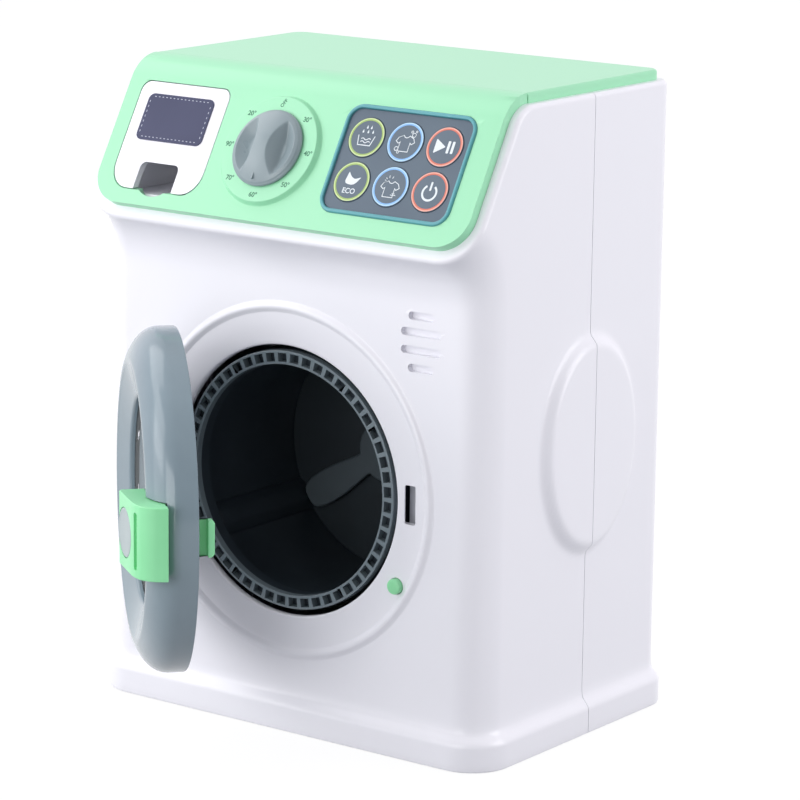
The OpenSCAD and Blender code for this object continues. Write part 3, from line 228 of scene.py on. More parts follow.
def onSlope(u, v, c):
    return (Matrix.Translation((0, cabinet["frontY"], 0)) @ Matrix.Rotation(math.radians(90 - slope["tilt"]), 4, "X")
            @ Matrix.Translation((u, v, c)))


def facing(x, y, z):
    return Matrix.Translation((x, y, z)) @ Matrix.Rotation(math.radians(90), 4, "X")


shutDoor = facing(0, cabinet["frontY"], door["z"])
hingeAt = Vector((door["hingeX"], cabinet["frontY"] - door["hingeOut"], 0))
standing = (Matrix.Translation(hingeAt) @ Matrix.Rotation(math.radians(-door["stands"]), 4, "Z")
            @ Matrix.Translation(-hingeAt) @ shutDoor)


# ---- materials ----
def hexLinear(code, alpha=1.0):
    channels = [int(code[i:i + 2], 16) / 255 for i in (0, 2, 4)]
    return [c / 12.92 if c <= 0.04045 else ((c + 0.055) / 1.055) ** 2.4 for c in channels] + [alpha]


def addNode(tree, kind, sockets=None, **settings):
    node = tree.nodes.new(kind)
    for key, value in settings.items():
        setattr(node, key, value)
    for key, value in (sockets or {}).items():
        if isinstance(value, bpy.types.NodeSocket):
            tree.links.new(value, node.inputs[key])
        else:
            node.inputs[key].default_value = value
    return node


def startMaterial(name, **shader):
    material = bpy.data.materials.new(name)
    material.use_nodes = True
    tree = material.node_tree
    surface = tree.nodes["Principled BSDF"]
    for key, value in shader.items():
        surface.inputs[key.replace("_", " ")].default_value = value
    place = addNode(tree, "ShaderNodeTexCoord").outputs["Object"]
    return material, tree, surface, place


def mouldedPlastic(name, colour, shade, rough=0.3, grain=0.35, grainDepth=0.006, cloud=22.0, roughSpread=0.06, **shader):
    # colour drifts to shade in soft clouds; grain in mm is the texture that the mould leaves
    material, tree, surface, place = startMaterial(name, **shader)
    clouds = addNode(tree, "ShaderNodeTexNoise", {"Vector": place, "Scale": 1000 / cloud, "Detail": 3.0, "Roughness": 0.5})
    ramp = addNode(tree, "ShaderNodeValToRGB", {"Fac": clouds.outputs["Fac"]})
    ramp.color_ramp.elements[0].position = 0.3
    ramp.color_ramp.elements[0].color = hexLinear(colour)
    ramp.color_ramp.elements[1].position = 0.75
    ramp.color_ramp.elements[1].color = hexLinear(shade)
    tree.links.new(ramp.outputs["Color"], surface.inputs["Base Color"])
    gloss = addNode(tree, "ShaderNodeMapRange", {"Value": clouds.outputs["Fac"], "From Min": 0.3, "From Max": 0.7,
                                                 "To Min": rough - roughSpread / 2, "To Max": rough + roughSpread / 2})
    tree.links.new(gloss.outputs["Result"], surface.inputs["Roughness"])
    skin = addNode(tree, "ShaderNodeTexNoise", {"Vector": place, "Scale": 1000 / grain, "Detail": 2.0})
    bump = addNode(tree, "ShaderNodeBump", {"Height": skin.outputs["Fac"], "Strength": 0.25, "Distance": grainDepth / 1000})
    tree.links.new(bump.outputs["Normal"], surface.inputs["Normal"])
    return material


def drawnMetal(name, colour, rough, line=0.4, **shader):
    # fine lines from drawing or turning run round the piece
    material, tree, surface, place = startMaterial(name, Metallic=1.0, **shader)
    surface.inputs["Base Color"].default_value = hexLinear(colour)
    stretched = addNode(tree, "ShaderNodeMapping", {"Vector": place, "Scale": (1.0, 1.0, 12.0)})
    lines = addNode(tree, "ShaderNodeTexNoise", {"Vector": stretched.outputs["Vector"], "Scale": 1000 / line / 6, "Detail": 3.0})
    gloss = addNode(tree, "ShaderNodeMapRange", {"Value": lines.outputs["Fac"], "To Min": rough * 0.8, "To Max": rough * 1.3})
    tree.links.new(gloss.outputs["Result"], surface.inputs["Roughness"])
    bump = addNode(tree, "ShaderNodeBump", {"Height": lines.outputs["Fac"], "Strength": 0.15, "Distance": 0.00002})
    tree.links.new(bump.outputs["Normal"], surface.inputs["Normal"])
    return material


whiteAbs = mouldedPlastic("glossyWhiteAbs", "F1F1F7", "F1F1F7", rough=0.28, grain=1.6, grainDepth=0.002, cloud=60.0, roughSpread=0.0)
mintAbs = mouldedPlastic("glossyMintAbs", "9EE2B8", "9EE2B8", rough=0.32, grain=1.4, grainDepth=0.002, cloud=60.0, roughSpread=0.0)
tealAbs = mouldedPlastic("glossyTealAbs", "5BA6AE", "549EA6", rough=0.28)
panelPrint = mouldedPlastic("screenPrintedPolycarbonate", "536574", "4E5F6F", rough=0.38, grain=0.25, grainDepth=0.003)
keyPlastic = mouldedPlastic("satinKeyPolycarbonate", "586978", "536372", rough=0.36, grain=0.25, grainDepth=0.003)
knobAbs = mouldedPlastic("satinGreyAbs", "8D9CA1", "86959A", rough=0.3, grain=0.5, grainDepth=0.004)
doorAbs = mouldedPlastic("glossyBlueGreyAbs", "80919A", "798A93", rough=0.17, grain=1.8, grainDepth=0.004)
greenAbs = mouldedPlastic("glossySpringGreenAbs", "92E3AA", "89DDA1", rough=0.36, grain=1.2, grainDepth=0.004)
drumAbs = mouldedPlastic("drumCharcoalAbs", "343D45", "2D353D", rough=0.34, grain=0.6, grainDepth=0.006)
backAbs = mouldedPlastic("drumBackAbs", "2C353B", "272F35", rough=0.4, grain=0.6, grainDepth=0.006)
vaneAbs = mouldedPlastic("drumVaneAbs", "5A646A", "525C62", rough=0.4, grain=0.6, grainDepth=0.006)
ringAbs = mouldedPlastic("drumRingGreyAbs", "78858B", "707D84", rough=0.32, grain=0.6)
catchAbs = mouldedPlastic("catchGreyAbs", "DADCE2", "D2D4DB", rough=0.4)
innerAbs = mouldedPlastic("innerPaleAbs", "D9DCE2", "D0D3DA", rough=0.45)
blackAbs = mouldedPlastic("satinBlackAbs", "34373B", "2D3034", rough=0.45)
boardResin = mouldedPlastic("solderMaskedFibreglass", "2F6B4A", "275D40", rough=0.35, grain=0.6, grainDepth=0.01, cloud=6.0)
gearNylon = mouldedPlastic("naturalNylon", "E8E4D4", "DFDAC8", rough=0.42)
coneFelt = mouldedPlastic("pressedPaperCone", "33373B", "2B2F33", rough=0.8, grain=0.3, grainDepth=0.03)
sleeveFilm = mouldedPlastic("printedCellSleeve", "8A8F3C", "7F8436", rough=0.3)
labelVinyl = mouldedPlastic("printedNavyVinyl", "2C3258", "282E52", rough=0.5, grain=0.3, grainDepth=0.003)
badgeAbs = mouldedPlastic("satinBadgeAbs", "A3B0B1", "9CA9AB", rough=0.35)
steel = drawnMetal("zincPlatedSteel", "BFC2C6", 0.28)
bronze = drawnMetal("sinteredBronze", "C39A58", 0.45)
brass = drawnMetal("turnedBrass", "D6B052", 0.3)
magnetIron = drawnMetal("groundFerriteAndIron", "55595E", 0.5)
clearStyrene = startMaterial("clearPolystyrene", Roughness=0.05, IOR=1.5, Alpha=0.12)[0]
clearStyrene.node_tree.nodes["Principled BSDF"].inputs["Base Color"].default_value = hexLinear("E9F0F2")
def printedInk(name, colour, rough=0.45):
    # screen ink lies a little unevenly, so its sheen varies finely
    material, tree, surface, place = startMaterial(name)
    surface.inputs["Base Color"].default_value = hexLinear(colour)
    speckle = addNode(tree, "ShaderNodeTexNoise", {"Vector": place, "Scale": 4000.0, "Detail": 2.0})
    gloss = addNode(tree, "ShaderNodeMapRange", {"Value": speckle.outputs["Fac"], "To Min": rough - 0.08, "To Max": rough + 0.08})
    tree.links.new(gloss.outputs["Result"], surface.inputs["Roughness"])
    return material


inkWhite = printedInk("screenInkWhite", "E2EAEE")
inkPale = printedInk("screenInkPale", "B9BED0")
inkGreen = printedInk("padPrintDarkGreen", "357A5A")
inkGrey = printedInk("padPrintDarkGrey", "56626A")
ringPrint = {
    "green": (printedInk("ringInkLime", "CBDF9E"), printedInk("ringInkOlive", "9CB867")),
    "blue": (printedInk("ringInkSky", "B4D9F8"), printedInk("ringInkBlue", "82B6EE")),
    "red": (printedInk("ringInkSalmon", "EFAE9E"), printedInk("ringInkCoral", "D8735F")),
}
print("materials made:", len(bpy.data.materials))


# ---- cabinet shells ----
def padHeight(y, z):
    # raised oval on each side wall, with a soft slope round it
    dy, dz = y - cabinet["seamY"], z - cabinet["padZ"]
    reach = math.hypot(dy, dz)
    a, b = cabinet["padLength"] / 2, cabinet["padHeight"] / 2
    edge = a * b / math.hypot(b * dy / reach, a * dz / reach) if reach > 0.01 else a
    step = min(max((edge - reach) / cabinet["padSlope"], 0), 1)
    return cabinet["padRise"] * step * step * (3 - 2 * step)


def plinthRows():
    out, top = cabinet["plinthOut"], cabinet["plinthHeight"]
    profile = [(0.0, out - 0.8), (0.25, out - 0.3), (0.8, out), (3.5, out), (top - 1.6, out), (top - 0.6, out - 0.12),
               (top + 0.4, out - 0.5), (top + 1.5, out - 1.35), (top + 2.6, out - 2.3), (top + 3.6, out - 2.95),
               (top + 4.8, out - 3.3), (top + 6.4, 0.05), (top + 8.0, 0.0)]
    return [("level", z, grow) for z, grow in profile]


def wallRows(top):
    low, high = cabinet["padZ"] - cabinet["padHeight"] / 2 - 2, cabinet["padZ"] + cabinet["padHeight"] / 2 + 2
    steps = int((high - low) / 1.6)
    rows = [30.0, 50.0] + [high + 2 * i for i in range(1, 40)] + [low + (high - low) * i / steps for i in range(steps + 1)]
    return [("level", z, 0.0) for z in sorted(rows) if z < top - 0.5] + [("level", top, 0.0)]


def frontPoint(station, row):
    kind, s = station
    half, front, radius = cabinet["halfWidth"], cabinet["frontY"], cabinet["frontRadius"]
    seam = cabinet["seamY"] - cabinet["seamGap"] / 2
    if row[0] == "level":
        z, out = row[1:]
        if kind == "side":
            y = seam + (front + radius - seam) * s / 8
            return Vector((-half - out - padHeight(y, z), y, z))
        if kind == "corner":
            turn = math.radians(s)
            return Vector((-half + radius + (radius + out) * math.cos(turn), front + radius + (radius + out) * math.sin(turn), z))
        return Vector(((-half + radius) * (1 - s), front - out, z))
    if row[0] == "lip":
        inset, deep = row[1:]
        if kind == "side":
            if s <= 1:
                return Vector((-half + inset, seam + (bendY - seam) * s, cabinet["shellTop"] - deep))
            turn = math.radians(90 + (90 - slope["tilt"]) * min((s - 1) / 6, 1))
            r = slope["bendRadius"] - slope["thick"] - deep
            bend = Vector((-half + inset, bendY + r * math.cos(turn), bendZ + r * math.sin(turn)))
            if s <= 7:
                return bend
            corner = slopeSpot(-half + inset, shellV + slope["cornerRadius"] + slope["rimSide"], shellC - deep)
            return bend.lerp(corner, s - 7)
        r = slope["cornerRadius"] + slope["rimSide"]
        if kind == "corner":
            turn = math.radians(s)
            return slopeSpot(-half + r + (r - inset) * math.cos(turn), shellV + r + (r - inset) * math.sin(turn), shellC - deep)
        return slopeSpot((-half + r) * (1 - s), shellV + inset, shellC - deep)
    t = row[1]
    low, high = frontPoint(station, ("level", cabinet["swellFrom"], 0.0)), frontPoint(station, ("lip", 0.0, 2.0))
    knee = Vector((low.x, low.y, high.z - (low.y - high.y) * math.tan(math.radians(slope["tilt"]))))
    return (1 - t) ** 2 * low + 2 * t * (1 - t) * knee + t * t * high


def slopeSpot(u, v, c):
    return Vector((u, cabinet["frontY"] + sinT * v - cosT * c, cosT * v + sinT * c))


def rearPoint(station, row):
    kind, s = station
    z, out = row[1:]
    half, back, radius = cabinet["halfWidth"], cabinet["backY"], cabinet["rearRadius"]
    seam = cabinet["seamY"] + cabinet["seamGap"] / 2
    if kind == "side":
        y = seam + (back - radius - seam) * s / 8
        return Vector((-half - out - (padHeight(y, z) if out == 0 else 0), y, z))
    if kind == "corner":
        turn = math.radians(s)
        return Vector((-half + radius + (radius + out) * math.cos(turn), back - radius + (radius + out) * math.sin(turn), z))
    return Vector(((-half + radius) * (1 - s), back + out, z))


def shellGrid(stations, rows, spot):
    # a grid primitive whose columns go round the cabinet and whose rows go up it
    columns = 2 * len(stations) - 1
    clearSelection()
    bpy.ops.mesh.primitive_grid_add(x_subdivisions=columns - 1, y_subdivisions=len(rows) - 1, size=2, location=(0, 0, 0))
    shell = bpy.context.object
    floorRow = []
    for vertex in shell.data.vertices:
        i = round((vertex.co.x + 1) / 2 * (columns - 1))
        j = round((vertex.co.y + 1) / 2 * (len(rows) - 1))
        mirrored = i >= len(stations)
        place = spot(stations[columns - 1 - i if mirrored else i], rows[j])
        vertex.co = (-place.x if mirrored else place.x, place.y, place.z)
        if j == 0:
            floorRow.append(vertex.index)
    bpy.ops.object.mode_set(mode="EDIT")
    bpy.ops.mesh.select_all(action="DESELECT")
    bpy.ops.object.mode_set(mode="OBJECT")
    for index in floorRow:
        shell.data.vertices[index].select = True
    bpy.ops.object.mode_set(mode="EDIT")
    bpy.ops.mesh.select_mode(type="VERT")
    bpy.ops.mesh.edge_face_add()
    bpy.ops.object.mode_set(mode="OBJECT")
    faceOutwards(shell)
    return useModifier(shell, "SOLIDIFY", thickness=cabinet["wall"], offset=-1, use_even_offset=True)


def bevelFrontHoles(piece, plane, width, keep):
    # rounds the rims of the holes that open on one plane of the shell
    pickOnly(piece)
    bpy.ops.object.mode_set(mode="EDIT")
    bpy.ops.mesh.select_mode(type="EDGE")
    bpy.ops.mesh.select_all(action="DESELECT")
    bpy.ops.mesh.edges_select_sharp(sharpness=math.radians(50))
    bpy.ops.object.mode_set(mode="OBJECT")
    points = piece.data.vertices
    for edge in piece.data.edges:
        a, b = points[edge.vertices[0]].co, points[edge.vertices[1]].co
        edge.select = edge.select and abs(a.y - plane) < 0.02 and abs(b.y - plane) < 0.02 and keep((a + b) / 2)
    bpy.ops.object.mode_set(mode="EDIT")
    bpy.ops.mesh.bevel(offset=width, segments=3, clamp_overlap=True)
    bpy.ops.object.mode_set(mode="OBJECT")
    return piece


frontDetails = {
    "ventX": 64.7, "ventZ": 165.3, "ventHeight": 3.2, "vents": [(10.1, 6.0), (3.8, 9.4), (-3.2, 9.4), (-10.1, 6.0)],
    "slotX": (58.0, 63.2), "slotHalf": 7.7, "pegX": 54.4, "pegZ": 68.3, "pegHole": 3.35,
    "bead": (69.5, 2.5, 1.2),
    "knuckleHalf": 9.0, "earGap": 0.4, "ear": 4.0, "knuckleRadius": 3.3,
}


def makeFrontShell():
    d = frontDetails
    front = cabinet["frontY"]
    stations = ([("side", i / 5) for i in range(40)] + [("corner", 180 + 90 * i / 24) for i in range(25)]
                + [("front", i / 20) for i in range(1, 21)])
    lipRound = [(0.0, 2.0), (0.08, 1.45), (0.3, 0.95), (0.62, 0.55), (1.05, 0.22), (1.5, 0.05), (2.0, 0.0), (3.2, 0.0), (8.0, 0.0)]
    rows = (plinthRows() + wallRows(cabinet["swellFrom"]) + [("swell", i / 14) for i in range(1, 14)]
            + [("lip", inset, deep) for inset, deep in lipRound])
    shell = shellGrid(stations, rows, frontPoint)
    cutAway(shell, moveTo(addRound(56.0, 12, -6, 128), facing(0, front, door["z"])))
    for rise, half in d["vents"]:
        slot = extrudeOutline(roundedOutline(2 * half, d["ventHeight"], d["ventHeight"] / 2 - 0.01, 8), 8, -4)
        cutAway(shell, moveTo(slot, facing(d["ventX"], front, d["ventZ"] + rise)))
    low, high = d["slotX"]
    slot = extrudeOutline(roundedOutline(high - low + 1.6, 2 * d["slotHalf"], 0.8, 5), 8, -4)
    cutAway(shell, moveTo(slot, facing((low + high) / 2 - 0.8, front, door["z"])))
    cutAway(shell, moveTo(addRound(d["pegHole"], 8, -4, 48), facing(d["pegX"], front, d["pegZ"])))
    bevelFrontHoles(shell, front, 0.45, lambda p: p.x > 50)

    middle, spread, crest = d["bead"]
    bead = [(middle + spread * i / 8, crest * math.cos(math.pi * i / 16) ** 1.6 + 0.04) for i in range(-8, 9)]
    ring = spinProfile([(54.3, -2.5), (54.3, -0.9), (54.38, -0.5), (54.62, -0.16), (55.0, 0.02), (56.0, 0.04)]
                       + bead + [(middle + spread + 0.05, -0.5), (56.4, -0.5), (55.8, -2.5)], 144)
    slot = extrudeOutline(roundedOutline(high - low, 2 * d["slotHalf"], 0.8, 5), 8, -4)
    cutAway(ring, moveTo(slot, Matrix.Translation(((low + high) / 2, 0, 0))))
    cutAway(ring, moveTo(addRound(d["pegHole"], 8, -4, 48), Matrix.Translation((d["pegX"], d["pegZ"] - door["z"], 0))))
    gap = d["knuckleHalf"] + d["earGap"]
    cutAway(ring, addBox((-door["radius"] - 8, -gap, 0.06), (-door["radius"] + 8, gap, 6)))
    moveTo(ring, shutDoor)
    ears = []
    for low in (gap, -gap - d["ear"]):
        knob = moveTo(addRound(d["knuckleRadius"], d["ear"], low, 40), Matrix.Translation((door["hingeX"], hingeAt.y, door["z"])))
        stem = addBox((door["hingeX"] - d["knuckleRadius"], hingeAt.y, door["z"] + low),
                      (door["hingeX"] + d["knuckleRadius"], front + 0.5, door["z"] + low + d["ear"]))
        ears.append(roundEdges(cutAway(knob, stem, "UNION"), 0.5, 2))
    tongue = addBox((-92.35, 3.0, 2.65), (92.35, 10.35, 253.35))
    inner = addBox((-91.15, 1.0, 3.85), (91.15, 12.0, 252.15))
    cutAway(tongue, inner)
    joinPieces(shell, ring, tongue, *ears)
    finishPiece(shell, "frontShell", "cabinet", whiteAbs, ["front_shell"])
    print("front shell:", len(shell.data.polygons), "faces")


rearDetails = {"wellX": 87.0, "wellZ": (24.0, 112.0, 200.0), "wellRadius": 2.8, "bay": (31.0, 22.0, 57.0)}


def makeRearShell():
    d = rearDetails
    stations = ([("side", i / 5) for i in range(40)] + [("corner", 180 - 90 * i / 10) for i in range(11)]
                + [("back", i / 6) for i in range(1, 7)])
    top = cabinet["shellTop"]
    rows = plinthRows() + wallRows(cabinet["swellFrom"]) + [("level", z, 0.0) for z in (215.0, top - 2)]
    rows += [("level", top - deep, -inset) for inset, deep in
             [(0.08, 1.45), (0.3, 0.95), (0.62, 0.55), (1.05, 0.22), (1.5, 0.05), (2.0, 0.0), (3.0, 0.0), (6.0, 0.0)]]
    shell = shellGrid(stations, rows, rearPoint)
    half, low, high = d["bay"]
    cutAway(shell, addBox((-half, 50, low), (half, 70, low + high)))
    for x in (-d["wellX"], d["wellX"]):
        for z in d["wellZ"]:
            cutAway(shell, moveTo(addRound(d["wellRadius"], 10, -5, 32), facing(x, cabinet["backY"], z)))
    bevelFrontHoles(shell, cabinet["backY"], 0.5, lambda p: True)
    wells = []
    for x in (-d["wellX"], d["wellX"]):
        for z in d["wellZ"]:
            tube = spinProfile([(2.8, -1.2), (2.8, -43.0), (0.1, -43.0), (0.1, -44.0), (4.0, -44.0), (4.0, -1.2)], 32)
            wells.append(moveTo(tube, Matrix.Translation((x, cabinet["backY"], z)) @ Matrix.Rotation(math.radians(-90), 4, "X")))
    joinPieces(shell, *wells)
    finishPiece(shell, "rearShell", "cabinet", whiteAbs, ["rear_shell"])
    print("rear shell:", len(shell.data.polygons), "faces")


# ---- control slope ----
dial = {"u": -10.0, "v": edgeV + 29.3, "disc": 21.8, "discHeight": 2.0, "radius": 16.0, "height": 6.0, "fall": 4.2}
keypad = {"u": 50.65, "v": edgeV + 30.4, "width": 61.0, "height": 45.0, "rise": 0.8, "keyRadius": 8.2, "pitch": 18.35}
drawerPlan = {"x": -61.2, "v": edgeV + 6.5, "width": 45.0, "length": 45.6, "gap": 0.35}


def drawerOutline(grow):
    w = drawerPlan["width"] / 2 + grow
    low = drawerPlan["v"] * cosT + faceC * sinT - grow
    high = (drawerPlan["v"] + drawerPlan["length"]) * cosT + faceC * sinT + grow
    x = drawerPlan["x"]
    return (arcPoints(x + w - 4, high - 4, 4, 0, 90, 8) + arcPoints(x - w + 4, high - 4, 4, 90, 180, 8)
            + arcPoints(x - w + 9, low + 9, 9, 180, 270, 12) + arcPoints(x + w - 9, low + 9, 9, 270, 360, 12))


def makeFascia():
    straight = bendV - edgeV
    r = slope["cornerRadius"]
    alongs = ([r * (1 - math.cos(math.radians(90 * i / 14))) for i in range(15)]
              + [r + (straight - r) * i / 6 for i in range(1, 7)] + [straight + i / 14 for i in range(1, 15)])
    columns = 24
    clearSelection()
    bpy.ops.mesh.primitive_grid_add(x_subdivisions=columns, y_subdivisions=len(alongs) - 1, size=2, location=(0, 0, 0))
    fascia = bpy.context.object
    for vertex in fascia.data.vertices:
        across = vertex.co.x
        along = alongs[round((vertex.co.y + 1) / 2 * (len(alongs) - 1))]
        if along <= straight:
            half = fasciaHalf - 0.3 - (0 if along >= r else r - math.sqrt(max(r * r - (r - along) ** 2, 0)))
            vertex.co = slopeSpot(across * half, edgeV + along, faceC)
        else:
            turn = math.radians(180 - slope["tilt"] - (90 - slope["tilt"]) * (along - straight))
            vertex.co = (across * (fasciaHalf - 0.3), bendY + slope["bendRadius"] * math.cos(turn), bendZ + slope["bendRadius"] * math.sin(turn))
    faceOutwards(fascia)
    if sum(p.normal.y for p in fascia.data.polygons) > 0:
        pickOnly(fascia)
        bpy.ops.object.mode_set(mode="EDIT")
        bpy.ops.mesh.flip_normals()
        bpy.ops.object.mode_set(mode="OBJECT")
    useModifier(fascia, "SOLIDIFY", thickness=slope["thick"], offset=-1, use_even_offset=True)
    cutAway(fascia, moveTo(extrudeOutline(drawerOutline(drawerPlan["gap"]), 200, -100), facing(0, 0, 0)))
    cutAway(fascia, moveTo(addRound(10.0, 6, -5, 64), onSlope(drawerPlan["x"], drawerPlan["v"] + 7.5, faceC)))
    hole = extrudeOutline(roundedOutline(keypad["width"] + 0.2, keypad["height"] + 0.2, 7.1, 10), 6, -5)
    cutAway(fascia, moveTo(hole, onSlope(keypad["u"], keypad["v"], faceC)))
    cutAway(fascia, moveTo(addRound(4.3, 8, -6, 48), onSlope(dial["u"], dial["v"], faceC)))
    roundEdges(fascia, 0.8, 3, 50)
    foot, disc, rise = dial["disc"] + 1.5, dial["disc"], dial["discHeight"]
    sweep = [(foot - (foot - disc) * i / 10, rise * (i / 10) ** 2 * (3 - 2 * i / 10)) for i in range(11)]
    plateau = spinProfile([(4.3, -0.5), (foot, -0.5)] + sweep + [(20.0, rise), (4.6, rise), (4.3, rise - 0.3)], 96)
    moveTo(plateau, onSlope(dial["u"], dial["v"], faceC))
    joinPieces(fascia, plateau)
    finishPiece(fascia, "controlFascia", "cabinet", mintAbs, ["control_fascia"])
    print("fascia:", len(fascia.data.polygons), "faces")


def makeTopCover():
    low, high = bendY + 0.2, cabinet["backY"] - 3
    cover = extrudeOutline([(fasciaHalf, low)] + arcPoints(fasciaHalf - 6, high - 6, 6, 0, 90, 10)
                           + arcPoints(-fasciaHalf + 6, high - 6, 6, 90, 180, 10) + [(-fasciaHalf, low)],
                           slope["thick"], cabinet["shellTop"])
    pickOnly(cover)
    bpy.ops.object.mode_set(mode="EDIT")
    bpy.ops.mesh.select_mode(type="EDGE")
    bpy.ops.mesh.select_all(action="DESELECT")
    bpy.ops.object.mode_set(mode="OBJECT")
    points = cover.data.vertices
    for edge in cover.data.edges:
        ends = [points[i].co for i in edge.vertices]
        level = all(p.z > cabinet["height"] - 0.01 for p in ends)
        edge.select = level and not all(p.y < low + 0.01 for p in ends)
    bpy.ops.object.mode_set(mode="EDIT")
    bpy.ops.mesh.bevel(offset=1.3, segments=5)
    bpy.ops.object.mode_set(mode="OBJECT")
    finishPiece(cover, "topCover", "cabinet", mintAbs, ["top_cover"])
    print("top cover made")


makeFrontShell()
makeRearShell()
makeFascia()
makeTopCover()


# ---- door ----
doorPlan = {
    "rimFlat": 7.0, "domeRadius": 20.0, "domeHeight": 12.85, "domeEnd": 60.0, "funnel": 15.1, "lip": 13.1,
    "notchHalf": 13.8, "pocketHalf": 14.4, "pocketFloor": 12.1, "knuckle": 3.3, "knuckleHalf": 9.0, "screws": (55, 125, 235, 305),
}


def domePoints(grow, steps):
    d = doorPlan
    return [(door["radius"] - d["domeRadius"] + (d["domeRadius"] + grow) * math.cos(math.radians(d["domeEnd"] * i / steps)),
             d["rimFlat"] + (d["domeHeight"] + grow) * math.sin(math.radians(d["domeEnd"] * i / steps))) for i in range(steps + 1)]


def makeDoorRing():
    d = doorPlan
    r, hole, crest = door["radius"], door["hole"], door["crestRadius"]
    outer = [(r - 0.5, door["gap"]), (r - 0.15, door["gap"] + 0.12), (r, door["gap"] + 0.5)] + domePoints(0, 26)
    top = [(55.7, 18.5), (54.9, 18.72), (54.1, 18.8), (crest, 18.8), (52.8, 18.7), (52.3, 18.5), (51.5, 18.2)]
    funnel = [(hole + 1.1, d["funnel"] + 0.2), (hole + 0.6, d["funnel"] - 0.05), (hole + 0.2, d["funnel"] - 0.35),
              (hole, d["funnel"] - 0.9), (hole, d["lip"]), (crest - 9, d["lip"])]
    inner = [p for p in domePoints(-door["wall"], 12)][::-1] + [(r - door["wall"], door["gap"])]
    ring = spinProfile(outer + top + funnel + inner, 160)
    cutAway(ring, addBox((-r - 6, -d["notchHalf"], -1), (-r + 3.9, d["notchHalf"], 9.2)))
    cutAway(ring, addBox((44, -d["pocketHalf"], d["pocketFloor"]), (84, d["pocketHalf"], 30.2)))
    useModifier(ring, "BEVEL", width=0.3, segments=2, limit_method="ANGLE", angle_limit=math.radians(55), use_clamp_overlap=True)
    upright = Matrix.Rotation(math.radians(-90), 4, "X")
    knuckle = moveTo(addRound(d["knuckle"], 2 * d["knuckleHalf"], -d["knuckleHalf"], 40),
                     Matrix.Translation((door["hingeX"], 0, door["hingeOut"])) @ upright)
    low, high = d["knuckleHalf"], door["hingeOut"]
    arm = addBox((door["hingeX"], -low, high - 2), (door["hingeX"] + 6.2, low, high + 2))
    riser = addBox((door["hingeX"] + 3.2, -low, high - 2), (door["hingeX"] + 6.2, low, high + 9))
    cutAway(knuckle, arm, "UNION")
    cutAway(knuckle, riser, "UNION")
    roundEdges(knuckle, 0.4, 2, 50)
    bosses = [moveTo(addRound(2.8, 12.5, 2.65, 32), Matrix.Rotation(math.radians(a), 4, "Z") @ Matrix.Translation((56, 0, 0)))
              for a in d["screws"]]
    joinPieces(ring, knuckle, *bosses)
    moveTo(ring, standing)
    finishPiece(ring, "doorRing", "door", doorAbs, ["door_ring"], angle=38)


def makeDoorWindow():
    hole, seat, dip, thick = door["hole"], 11.2, 7.0, 1.8
    bowl = (hole - 1.5) ** 2 / 2 / dip + dip / 2
    reach = math.asin((hole - 1.5) / bowl)
    under = [(bowl * math.sin(reach * i / 20), seat + 0.05 + bowl - dip - bowl * math.cos(reach * i / 20)) for i in range(21)]
    over = [(x * (hole - 2.6) / (hole - 1.5), z + thick) for x, z in under]
    profile = under + [(hole + 2.7, seat + 0.05), (hole + 2.7, seat + thick), (hole - 2.2, seat + thick)] + over[::-1]
    window = spinProfile(profile, 128)
    moveTo(window, standing)
    finishPiece(window, "doorWindow", "door", clearStyrene, ["door_window"], angle=40)


def makeDoorBack():
    plate = copyNode("door_back")
    roundEdges(plate, 0.35, 2, 50)
    finishPiece(plate, "doorBack", "door", doorAbs, ["door_back"])


latch = {
    "x": 60.0, "pinOut": 8.0, "half": 14.0, "hookHalf": 7.1, "hookReach": 5.6, "lean": 7.8, "badgeX": 44.9, "top": 26.5,
    "outline": [((60.6, 11.4), 0), ((62.3, 12.75), 0), ((65.4, 12.75), 0), ((65.8, 12.35), 0), ((69.6, 12.35), 0), ((69.4, 14.6), 1), ((68.7, 17.7), 1.2), ((67.3, 20.2), 1.2),
                ((65.0, 22.5), 1.2), ((62.0, 24.0), 1.4), ((58.7, 24.9), 1.6), ((38.2, 27.7), 2.6),
                ((38.0, 17.6), 0.6), ((45.4, 17.6), 0), ((46.4, 12.4), 0), ((56.4, 11.3), 0)],
}


def softOutline(corners, steps=6):
    # polygon corners rounded by quadratic curves, each with its own reach
    points = []
    for i, (corner, reach) in enumerate(corners):
        here = Vector(corner)
        back, ahead = Vector(corners[i - 1][0]) - here, Vector(corners[(i + 1) % len(corners)][0]) - here
        if reach == 0:
            points.append(tuple(here))
            continue
        start, end = here + back.normalized() * reach, here + ahead.normalized() * reach
        for k in range(steps + 1):
            t = k / steps
            points.append(tuple((1 - t) ** 2 * start + 2 * t * (1 - t) * here + t * t * end))
    return points


